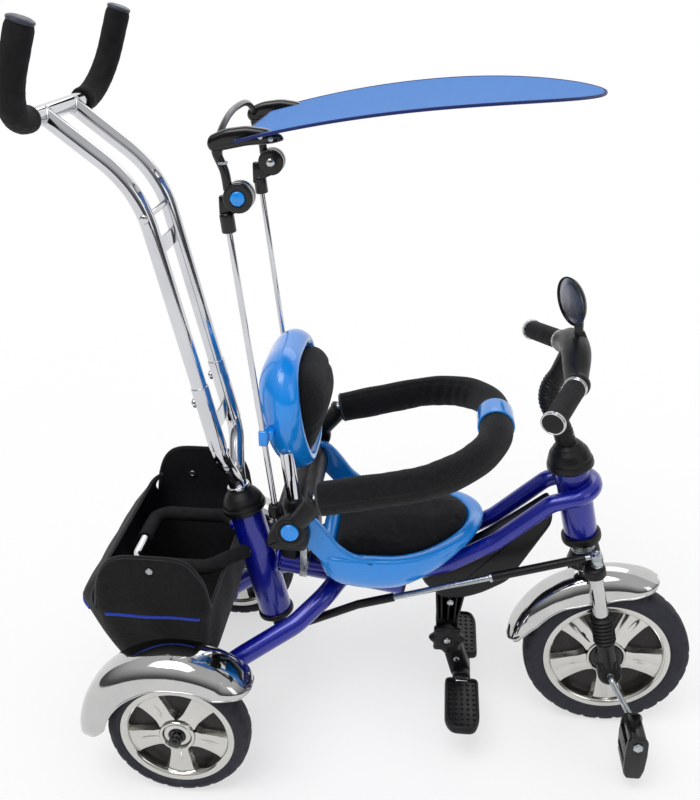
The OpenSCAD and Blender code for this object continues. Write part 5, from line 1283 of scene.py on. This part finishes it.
# Distance in from the seat's rim and height over it.
PAD_SIDE = [(27.5, -20), (25.6, -14), (23.9, -8), (23, -2.5), (23.2, 1), (24.6, 3.4), (27.5, 5.2)]
PAD_TOP = [(1, 356, 361), (.8, 360, 362), (.5, 362, 362.4), (.1, 362.6, 362.6)]
pad_rings = [seat_floor(.1, 307.2, 307.2), seat_floor(.6, 307.5, 307.5), seat_floor(.95, 312, 311)]
pad_rings += [seat_rim(d, rim_top + h) for d, h in PAD_SIDE]
pad_rings += [seat_floor(*ring) for ring in PAD_TOP]
seat_pad = piece("seat_pad", loft(pad_rings), SEAT_CLOTH, "chassis", "seat_cushion", 180)
puffed(seat_pad, 0.0045, lambda p: p[:, 2] < 0.346)
pressed(seat_pad, seat_seams)

BACK, BACK_LEAN, BACK_N = arr(140, 0, 534), math.radians(7), 168


def on_back(p):
    """(x, y, z) rows of the backrest's own frame."""
    return leaned(BACK, p, BACK_LEAN)


def in_back(p):
    """Places in metres as the backrest's own millimetres."""
    return leaned(ORIGIN, p * 1000 + [MIDDLE_X, 0, 0] - BACK, -BACK_LEAN)


back_line = even(rounded(rect(-102, -86, 102, 86), 88, 30), BACK_N)
back_line[:, 1] *= np.where(back_line[:, 1] < 0, 1.12, 1.0)
back_line[:, 0] *= 1 - 0.22 * np.clip(-back_line[:, 1] / 86, 0, 1) ** 1.2
# Distance in from the outline and forward of the backrest's middle, from the rear over the rim to behind the pad.
BACK_RINGS = [(30, -30.4), (24, -27.6), (16, -22.4), (9, -15.6), (4, -8.6), (1, -1.6), (0, 5), (1, 11), (3.2, 16.4),
              (6, 20.6), (8.6, 23.8), (11, 25.8), (13.6, 26.8), (16.4, 26.6), (19, 25.2), (21.4, 22.4), (23.4, 18),
              (25, 13.6), (26.4, 10.4), (30, 8)]
back_flat = [(x, inset(back_line, 30) * k) for k, x in ((.1, -36), (.35, -35.8), (.6, -35), (.82, -33.2))]
back_flat += [(x, inset(back_line, d)) for d, x in BACK_RINGS]
back_rings = [on_back(np.column_stack([np.full(BACK_N, x), line])) for x, line in back_flat]
clips = []
for s in (-1, 1):
    clips += [rounded_box((111.4, s * 110 - 6.4, 512), (124, s * 110 + 6.4, 534), 2.6, 3),
              rounded_box((117, s * 98 - 9, 516), (130, s * 98 + 9, 530), 2.4, 3)]
piece("back_rest", joined(loft(back_rings), *clips), AZURE, "chassis", "back_shell", 60)


def back_put(p):
    """The pad's front bulges high and tapers low."""
    z, y, h = p[:, 0], p[:, 1], p[:, 2]
    t = np.clip((z + 48) / 62, 0, 1)
    h = 9 + (h - 9) * (0.6 + 0.44 * t * t * (3 - 2 * t))
    return on_back(np.column_stack([h, y, z - 5]))


def back_seams(p):
    q = in_back(p)
    return (q[:, 0] > 22) * 0.003 * grooves(q[:, 2], (28, -24), 3.6)


back_pad = piece("back_pad", pillow(66, 68, 9.0, 56, -0.28, 0.66, back_put), SEAT_CLOTH, "chassis", "back_cushion", 180)
puffed(back_pad, 0.0042, lambda p: in_back(p)[:, 0] < 11)
pressed(back_pad, back_seams)

# Seat bracket and uprights

ROD_Y, POST_Y, PIVOT_X, PIVOT_Z = 110.0, 84.0, 156.0, 403.0
ROD_TOP = 818


def rod_at(z):
    return arr(133 - 0.117 * (z - 392), -ROD_Y, z)


post_foot, post_top = arr(156, -POST_Y, 384), arr(143, -POST_Y, 490)
post_dir, rod_dir = unit(post_top - post_foot), unit(rod_at(500) - rod_at(400))
beam_line = [(119, 370), (122, 382), (130, 396), (140, 404), (160, 406), (174, 400), (178, 388), (178, 372), (172, 366),
             (124, 366)]
rod_cup = [(4.2, 0), (10.4, 0), (10.4, 10), (9, 16), (7.6, 18), (4.2, 18)]
post_cup = [(9.7, 0), (16, 0), (15.4, 14), (13.6, 24), (12.4, 26), (9.7, 26)]
pivot_rim = [(12.8, -150.8), (14.8, -150.8), (15, -149), (15, -136), (20, -133), (12.8, -133)]
piece("seat_frame", joined(
    slab(beam_line, -135, 135, 6, 16, side, 8),
    rounded_box((119, -16, 256), (145, 16, 372), 4, 6),
    rounded_box((172, -48, 288), (306, 48, 298.8), 2.6, 14),
    rounded_box((165, -30, 289), (177, 30, 370), 2.6, 4),
    *pairs(lathe(rod_cup, rod_at(404), rod_dir, 36, 1.4, True),
           lathe(post_cup, post_foot + post_dir * 8, post_dir, 44, 1.6, True),
           cross(pivot_rim, PIVOT_X, PIVOT_Z, 48, 0.8, True),
           cross(rect(0, -141.8, 12.6, -132), PIVOT_X, PIVOT_Z, 40, 0.4),
           slab([(122, 352), (172, 352), (176, 372), (120, 372)], -118, -58, 4, 6, side))),
    BLACK, "chassis", "seat_bracket")
piece("back_posts", joined(*pairs(bar(rod_at(392), rod_at(ROD_TOP), 4, 24), bar(post_foot, post_top, 9.5, 36))),
      BRIGHT_TUBE, "chassis", "seat_uprights")

# Safety ring

RING_BEND, RING_SIDES, SLEEVE_SEAM, SLEEVE_GIRTH = 122.0, 48, 4.2, 0.022
sleeve_start, ring_corner = arr(195, -143, 453), arr(427, -152, 510)
ring_dir = unit(ring_corner - sleeve_start)
socket_foot = arr(PIVOT_X, -143, PIVOT_Z)
socket_dir = unit(sleeve_start - socket_foot)
socket_eye = [(15.2, -150.6), (19, -150.6), (21.4, -149.4), (22, -147), (22, -138), (21, -135.6), (15.2, -135.4)]
socket_st = curve([*[socket_foot + socket_dir * d for d in (17, 30, 45)], sleeve_start - ring_dir * 1.2], 24)
piece("ring_pivots", joined(*pairs(
    cross(socket_eye, PIVOT_X, PIVOT_Z, 56, 0.9, True),
    sweep(socket_st, lambda s, a: 12.6 + 2.2 * s + 1.2 * (s > 0.86), 40))), BLACK, "safety_ring", "ring_sockets")

core_start = sleeve_start - ring_dir * 7
core_st = route([core_start, ring_corner, flip(ring_corner), flip(core_start)], RING_BEND, 5, 14)
piece("ring_core", sweep(core_st, 9, 24), ZINC, "safety_ring", "ring_bar")
ring_st = route([sleeve_start, ring_corner, flip(ring_corner), flip(sleeve_start)], RING_BEND, 2, 3.2)
ring_long = lengths(ring_st)


def sleeve_size(s, a):
    """Radius of the padded sleeve: full between its ends, with creases on the inner side of each bend and a seam."""
    d = s * ring_long[-1]
    near_end = min(d, ring_long[-1] - d)
    r = 22.9 - 1.4 * math.exp(-(near_end / 4) ** 2)
    r += 0.35 * math.sin(d / 23) + 0.3 * math.sin(d / 9 + 1.3)
    bend = math.exp(-((abs(d - ring_long[-1] / 2) - 190) / 85) ** 2)
    inner = np.clip(-np.cos(a), 0, 1) ** 1.5
    from_seam = np.abs(a - SLEEVE_SEAM)
    seam = 1.1 * np.exp(-(np.minimum(from_seam, 2 * np.pi - from_seam) / 0.1) ** 2)
    return r - bend * inner * 1.7 * (0.5 + 0.5 * np.sin(d / 3.4 + 1.5 * np.sin(a * 2))) - seam


sleeve_uv = np.vstack([np.column_stack([np.full(RING_SIDES, d / 1000), around(RING_SIDES) * SLEEVE_GIRTH])
                       for d in ring_long])
o = piece("ring_padding", sweep(ring_st, sleeve_size, RING_SIDES, end=0, normal=-Y), SLEEVE_CLOTH, "safety_ring",
          "ring_sleeve", 180, sleeve_uv)
band_st = route([sleeve_start + ring_dir * 1.6, sleeve_start + ring_dir * 4], 1, 5, 1.2)
band = sweep(band_st, lambda s, a: 22.5 + 0.6 * math.sin(math.pi * s) + 0.2 * np.cos(a * 24), 48, 17)
piece("ring_elastic", joined(*pairs(band)), ELASTIC, "safety_ring")


def clip_ribs(a, h):
    return 1 + 0.03 * np.clip(np.sin(a * 26), 0, 1) * (abs(h) < 19)


clip_line = there_back([(23.3, -21.5), (25.2, -21.5), (25.9, -20.4)])
piece("ring_clasp", lathe(clip_line, arr(427, 0, 510), Y, 208, 0.7, True, clip_ribs, X), AZURE, "safety_ring",
      "ring_clip", 50)
ring_push = [(0, 145.6), (12.3, 145.6), (12.3, 151.4), (11.2, 152.8), (8.4, 153), (7.4, 152.2), (0, 151.8)]
for name, s in SIDES:
    body = "ring_button_" + name
    piece("ring_push_" + name, lathe(ring_push, arr(PIVOT_X, 0, PIVOT_Z), s * Y, 44, 0.6), AZURE, body, body)

# Canopy

HINGE = arr(100.35, 0, 842)
CLAMP_X = 80.35
rod_x = rod_at(ROD_TOP)[0]
ear = [(rod_x - 9, 812), (HINGE[0] + 4, 826), (HINGE[0] + 8, 842), (rod_x - 9, 842)]
rod_cap = [(4.2, 0), (8.4, 0), (9, 1.4), (9, 21), (7.6, 24), (4.2, 24)]
hinge_inner = [(0, -112), (17, -112), (18, -110.6), (18, -103), (16.4, -101), (0, -101)]
hinge_rivet = [(0, -101.4), (6.4, -101.4), (6, -99.6), (4, -98.2), (0, -97.8)]
piece("canopy_hinges", joined(*pairs(
    lathe(rod_cap, rod_at(798), rod_dir, 36, 1.0, True),
    slab(ear, -111, -102.5, 2, 3, side),
    cross(hinge_inner, HINGE[0], HINGE[2], 52, 0.8),
    kind(cross(hinge_rivet, HINGE[0], HINGE[2], 28, 0.8), 1))), [GLOSS_BLACK, CHROME], "chassis", "canopy_knuckles")

leaf = [(HINGE[0] - 12, 850), (HINGE[0] - 15, 872), (CLAMP_X - 2.5, 892), (CLAMP_X - 1, 904)]
FIN_LONG, STUB_Y = 76, -119
stub_st = curve([arr(x, STUB_Y, z) for x, z in leaf], 30)
fin_line = [(CLAMP_X + x, z) for x, z in (
    (-14, 903), (-11, 913), (8, 921), (34, 924.6), (58, 921.6), (73, 914), (FIN_LONG, 909), (64, 905.4), (34, 903),
    (4, 896.6), (-9, 895))]


def fin_put(p):
    """The clamp leaf bends round the cloth's corner."""
    x, z, y = p[:, 0], p[:, 1], p[:, 2]
    k = np.clip((x - CLAMP_X) / FIN_LONG, 0, 1)
    return np.column_stack([x, y - 2 * np.sin(np.pi * k) + 2 * k, z])


hinge_outer = [(9.2, -125), (16.6, -125), (18, -123.4), (18, -113), (9.2, -112.5)]
clamp_rivet = [(0, 0), (3.2, 0), (2.8, 1.4), (0, 1.9)]
piece("canopy_clamps", joined(*pairs(
    cross(hinge_outer, HINGE[0], HINGE[2], 52, 1.0, True),
    cross(rect(0, -119.2, 9.4, -113), HINGE[0], HINGE[2], 40, 0.4),
    sweep(stub_st, lambda s, a: 5.6 + 2.2 * max(0.0, s - 0.7) / 0.3, 32),
    kind(lathe(rect(4, 0, 6.6, 3), arr(HINGE[0] - 17.2, STUB_Y, 881), Z, 32, 0.6, True), 1),
    slab(fin_line, -128, -110.5, 6, 6, fin_put, 4),
    *[kind(lathe(clamp_rivet, arr(CLAMP_X + x, -127.6, z), -Y, 24, 0.5), 1) for x, z in ((50, 913.6), (62, 911.4))])),
    [GLOSS_BLACK, ZINC], "canopy", "canopy_fittings")
hoop = [arr(77.35 + 3 * (1 - t * t), 118.5 * t, 904 + 27 * (1 - abs(t) ** 2.6)) for t in np.linspace(-1, 1, 41)]
piece("canopy_bow", sweep(stations_of(hoop, closed=False), 4, 24), GLOSS_BLACK, "canopy", "canopy_hoop")
canopy_push = [(0, 121.8), (8.8, 121.8), (8.8, 126.6), (7.6, 128), (0, 128.6)]
for name, s in SIDES:
    body = "canopy_button_" + name
    piece("canopy_push_" + name, lathe(canopy_push, HINGE, s * Y, 40, 0.8), AZURE, body, body)

SHEET_X0, SHEET_X1, SHEET_HALF, SHEET_THICK, SHEET_COLS = 102.35, 527.0, 150, 2.4, 37
SHEET_WIDEST = 0.42
ARCH_X, ARCH_Z, ARCH_R = 454.02, -395.39, 1350


def sheet_place(t, s):
    """A point of the cloth at share t of its length and s from -1 to 1 across; it dips a little between its wires."""
    x = SHEET_X0 + (SHEET_X1 - SHEET_X0) * t
    if t < SHEET_WIDEST:
        half = SHEET_HALF * (0.9 + 0.1 * math.sin(math.pi / 2 * min(t / SHEET_WIDEST, 1)))
    else:
        half = SHEET_HALF * math.sqrt(max(0.0, 1 - ((t - SHEET_WIDEST) / 0.58) ** 2.6))
    z = ARCH_Z + math.sqrt(ARCH_R ** 2 - (x - ARCH_X) ** 2)
    dip = 6.0 * (1 - s * s) * math.sin(math.pi * min(1, t * 1.02)) + 0.5 * math.sin(9 * t + 2.2 * s) * (1 - s * s)
    return arr(x, half * s, z - dip)


shares = [0.0, *np.linspace(0.012, 0.9, 46), *(1 - 0.1 * (1 - np.linspace(0.06, 0.995, 17)) ** 1.7)]
low = np.array([[sheet_place(t, s) for s in np.linspace(-1, 1, SHEET_COLS)] for t in shares])
canopy_shape, wire_st = two_layers(low, low + [0, 0, SHEET_THICK])
canopy = piece("canopy_cloth", canopy_shape, CANOPY_CLOTH, "canopy", "canopy_sheet", 60)
canopy_edge = piece("canopy_edge", sweep(wire_st, 1.9, 12, closed=True), NAVY, "canopy")

# Basket

BASKET_COLS, BASKET_FLOOR, BASKET_RIM, LIP_Z, PANEL_TOP, CORD_R = 220, 146.5, 273.0, 262.0, 358, 2.6
PANEL_X, PANEL_HALF = -38.5, 81.5
MIDDLE = arr(-45, 0)


def ways_of(line):
    """The direction of each point from the basket's middle."""
    return np.unwrap(np.arctan2(*(line - MIDDLE).T[::-1]))


def ease(v, a, b):
    t = np.clip((v - a) / (b - a), 0, 1)
    return t * t * (3 - 2 * t)


tub_low = even(soften(ccw(there_back([(30, -96), (-96, -124), (-124, -92)])), 18, True, 8), 2000)
tub_top = even(soften(ccw(there_back([(42, -167), (-119, -167), (-158, -130)])), 16, True, 8), BASKET_COLS)
tub_low = np.column_stack([np.interp(ways_of(tub_top), ways_of(tub_low), v, period=2 * np.pi) for v in tub_low.T])
panel = np.clip(1 - np.abs((tub_top[:, 0] - PANEL_X) / PANEL_HALF) ** 4.5, 0, 1) ** 0.5
panel = panel * ease(np.abs(tub_top[:, 1]), 150, 164)
at_rear = ease(-tub_top[:, 0], 122, 150)
rim_z = BASKET_RIM + (308 + 10 * (tub_top[:, 1] / 130) ** 2 - BASKET_RIM) * at_rear
rim_z = rim_z + (PANEL_TOP - rim_z) * panel


def tub_wall(z, inward=0.0):
    """The basket's outline at the heights z, one for each column, sagging outward between its seams."""
    k = np.clip((z - BASKET_FLOOR) / (BASKET_RIM - BASKET_FLOOR), 0, 1)[:, None] ** 0.8
    p = tub_low * (1 - k) + tub_top * k
    p[:, 0] += 0.74 * np.maximum(0, z - LIP_Z) * at_rear
    out = p - MIDDLE
    out = out / np.linalg.norm(out, axis=1)[:, None]
    w = np.clip((z - BASKET_FLOOR) / (rim_z - BASKET_FLOOR), 0, 1)
    puff = (2.2 + 0.9 * np.sin(13 * around(BASKET_COLS) + 5 * w)) * np.sin(np.pi * w) ** 0.8
    puff = puff - 2.4 * ease(z, BASKET_RIM, BASKET_RIM + 60)
    return np.column_stack([p + out * (puff - inward)[:, None], z])


def tub_rings(inward):
    """Rings from the middle of the floor to the rim, on the outside or a little inward of it."""
    rings = []
    for share in np.linspace(0.06, 0.96, 9):
        p = MIDDLE + (tub_low - MIDDLE) * share * (1 - inward / 120)
        sag = 4.5 * (1 - share ** 2) + 0.5 * np.sin(np.arange(BASKET_COLS) * 0.29 + 7 * share)
        rings.append(np.column_stack([p, BASKET_FLOOR + inward - sag * 0.9]))
    for w in [0.02, *np.linspace(0.07, 1, 24)]:
        z = BASKET_FLOOR + (rim_z - BASKET_FLOOR) * w + (inward if w < 0.3 else 0) * (1 - w)
        rings.append(tub_wall(z, inward))
    return rings


def on_wall(keep, key, z):
    """A cord along the outside of the basket at one height, over the columns whose rim keep(x, y) picks."""
    columns = sorted((i for i in range(BASKET_COLS) if keep(*tub_top[i])), key=lambda i: tub_top[i, key])
    p = tub_wall(np.full(BASKET_COLS, float(z)))[columns]
    return sweep(stations_of(p, closed=False), CORD_R, 10, end=0.8)


outer, inner = tub_rings(0.0), tub_rings(3.2)
tub = piece("basket_tub", loft(outer + inner[::-1]), BASKET_CLOTH, "chassis", "basket", 60)
binding = piece("basket_binding", sweep(stations_of((outer[-1] + inner[-1]) / 2), 2.8, 12, closed=True),
                cloth("basket binding", rgb(16, 16, 18), 0.0018, axes="XZ"), "chassis", slot="black_fabric")
cords = [on_wall(lambda x, y, s=s: s * y > 160 and -110 < x < 30, 0, LIP_Z) for s in (-1, 1)]
cords.append(on_wall(lambda x, y: x < -135 and abs(y) < 150, 1, LIP_Z - 7))
piping = piece("basket_piping", joined(*cords), PIPING, "chassis")
snap_line = [(0, 0), (5.2, 0), (5.0, 1.4), (3.6, 2.2), (3.0, 1.5), (0, 1.3)]
snap_places = ((-37, -165.6, 338, -1), (-37, 165.6, 338, 1), (-60, 160.6, 310, -1), (-60, -160.6, 310, 1))
snap = piece("basket_snaps", joined(*[lathe(snap_line, arr(x, y, z), s * Y, 28, 0.5) for x, y, z, s in snap_places]),
             ZINC, "chassis")

RACK_Z, RACK_Y, RACK_BEND = 284.4, -72, 26
rack_leg = [arr(77.97, -10, RACK_Z), arr(17.97, RACK_Y, RACK_Z), arr(-96, RACK_Y, RACK_Z)]
rack_st = route(rack_leg + [flip(p) for p in rack_leg[::-1]], RACK_BEND, 4, 10)
piece("basket_rail", sweep(rack_st, 8, 30), BRIGHT_TUBE, "chassis", "basket_rack")
leg_start = rack_leg[0] + unit(rack_leg[1] - rack_leg[0]) * 15
near_path = [leg_start, rack_leg[1], arr(-58, RACK_Y, RACK_Z)]
far_path = [flip(leg_start), flip(rack_leg[1]), flip(rack_leg[2]), arr(-96, -4, RACK_Z)]
sleeves = [sweep(route(path, RACK_BEND, 4, 8), lambda s, a: 11 + 0.25 * math.sin(s * 60), 32, bore=8.2)
           for path in (near_path, far_path)]
o = piece("rack_sleeves", joined(*sleeves), FOAM, "chassis")

# Stage, camera and light


def stage_finish(name, base):
    """Pale paper: lit and shadowed round the trike, and plain white in pictures and reflections further off."""
    f = Finish(name, base, 0.9, 0.0, 0.2)
    f.tint(f.noise(1.5, 2), darker(base, 0.985), base)
    ray = f.node("ShaderNodeLightPath").outputs
    seen = f.calc("ADD", f.calc("ADD", ray["Is Camera Ray"], ray["Is Glossy Ray"]), ray["Is Transmission Ray"])
    far = f.node("ShaderNodeVectorMath", {0: f.place}, operation="LENGTH").outputs["Value"]
    share = f.calc("MULTIPLY", f.calc("MINIMUM", seen, 1.0), f.spread(far, 0.6, 1.0, 0.7, 2.2))
    white = f.node("ShaderNodeEmission").outputs["Emission"]
    mix = f.node("ShaderNodeMixShader", {"Fac": share, 1: f.shader.outputs["BSDF"], 2: white})
    f.tree.links.new(mix.outputs["Shader"], f.tree.nodes["Material Output"].inputs["Surface"])
    return f.mat


FLOOR_HALF, FLAT_END, COVE_R, WALL_TOP = 14, 3.4, 2.6, 9.0
cove = np.linspace(0.1, math.pi / 2, 12)
ground_line = [(-FLOOR_HALF, 0.0), (FLAT_END, 0.0)]
ground_line += [(FLAT_END + COVE_R * math.sin(a), COVE_R - COVE_R * math.cos(a)) for a in cove]
ground_line += [(FLAT_END + COVE_R, WALL_TOP)]
mesh = bpy.data.meshes.new("floor")
mesh.from_pydata([(x, y, z) for y, z in ground_line for x in (-FLOOR_HALF, FLOOR_HALF)], [],
                 [[2 * i, 2 * i + 1, 2 * i + 3, 2 * i + 2] for i in range(len(ground_line) - 1)])
mesh.polygons.foreach_set("use_smooth", np.ones(len(mesh.polygons), bool))
mesh.materials.append(stage_finish("floor", (0.93, 0.93, 0.93, 1)))
floor = bpy.data.objects.new("floor", mesh)
scene.collection.objects.link(floor)

# The world lights the trike with a sky that is dark low down, and the camera sees it as plain white.
world = bpy.data.worlds.new("studio")
scene.world = world
world.use_nodes = True
sky = world.node_tree
split = add_node(sky, "ShaderNodeSeparateXYZ", {"Vector": add_node(sky, "ShaderNodeTexCoord").outputs["Generated"]})
ramp = add_node(sky, "ShaderNodeValToRGB", {"Fac": split.outputs["Z"]})
stops = ramp.color_ramp.elements
stops[0].position, stops[0].color = 0.0, (0.10, 0.10, 0.11, 1)
stops[1].position, stops[1].color = 0.62, (1.0, 1.0, 1.0, 1)
for at, level in ((0.16, 0.2), (0.34, 0.55)):
    stops.new(at).color = (level, level, level * 1.02, 1)
light = sky.nodes["Background"]
light.inputs["Strength"].default_value = 0.62
sky.links.new(ramp.outputs["Color"], light.inputs["Color"])
white = add_node(sky, "ShaderNodeBackground", {"Color": (1, 1, 1, 1)})
either = add_node(sky, "ShaderNodeMixShader", {
    "Fac": add_node(sky, "ShaderNodeLightPath").outputs["Is Camera Ray"],
    1: light.outputs["Background"], 2: white.outputs["Background"]})
sky.links.new(either.outputs["Shader"], sky.nodes["World Output"].inputs["Surface"])


def lamp(name, at, aim, energy, size=None):
    """A soft box, or a wide sun when it has no size."""
    d = bpy.data.lights.new(name, "AREA" if size else "SUN")
    d.energy = energy
    if size:
        d.shape, d.size, d.size_y = "RECTANGLE", size[0], size[1]
    else:
        d.angle = math.radians(40)
    o = bpy.data.objects.new(name, d)
    o.location = at
    o.rotation_euler = (Vector(aim) - Vector(at)).to_track_quat("-Z", "Y").to_euler()
    scene.collection.objects.link(o)


lamp("sun", (-0.7, -1.2, 3.2), (0.0, 0.0, 0.0), 1.1)
lamp("key", (-0.9, -1.6, 3.2), (0.0, 0.0, 0.35), 22, (2.4, 1.6))
lamp("fill", (2.4, -1.8, 1.7), (0.1, 0.0, 0.4), 8, (1.2, 1.8))
lamp("back", (0.3, 2.6, 2.6), (0.0, 0.0, 0.5), 10, (2.4, 1.2))

TURN, DOWN = math.radians(5.94), math.radians(24.51)
camera = bpy.data.cameras.new("camera")
camera.lens, camera.sensor_width, camera.sensor_fit = 42.57, 36, "AUTO"
camera.shift_x, camera.shift_y = 0.01125, -0.00125
camera.clip_start, camera.clip_end = 0.05, 100
eye = bpy.data.objects.new("camera", camera)
eye.location = (0.048729, -1.210, 1.088)
look = Vector((-math.sin(TURN) * math.cos(DOWN), math.cos(TURN) * math.cos(DOWN), -math.sin(DOWN)))
eye.rotation_euler = look.to_track_quat("-Z", "Y").to_euler()
scene.collection.objects.link(eye)
scene.camera = eye
scene.view_settings.view_transform = "Standard"
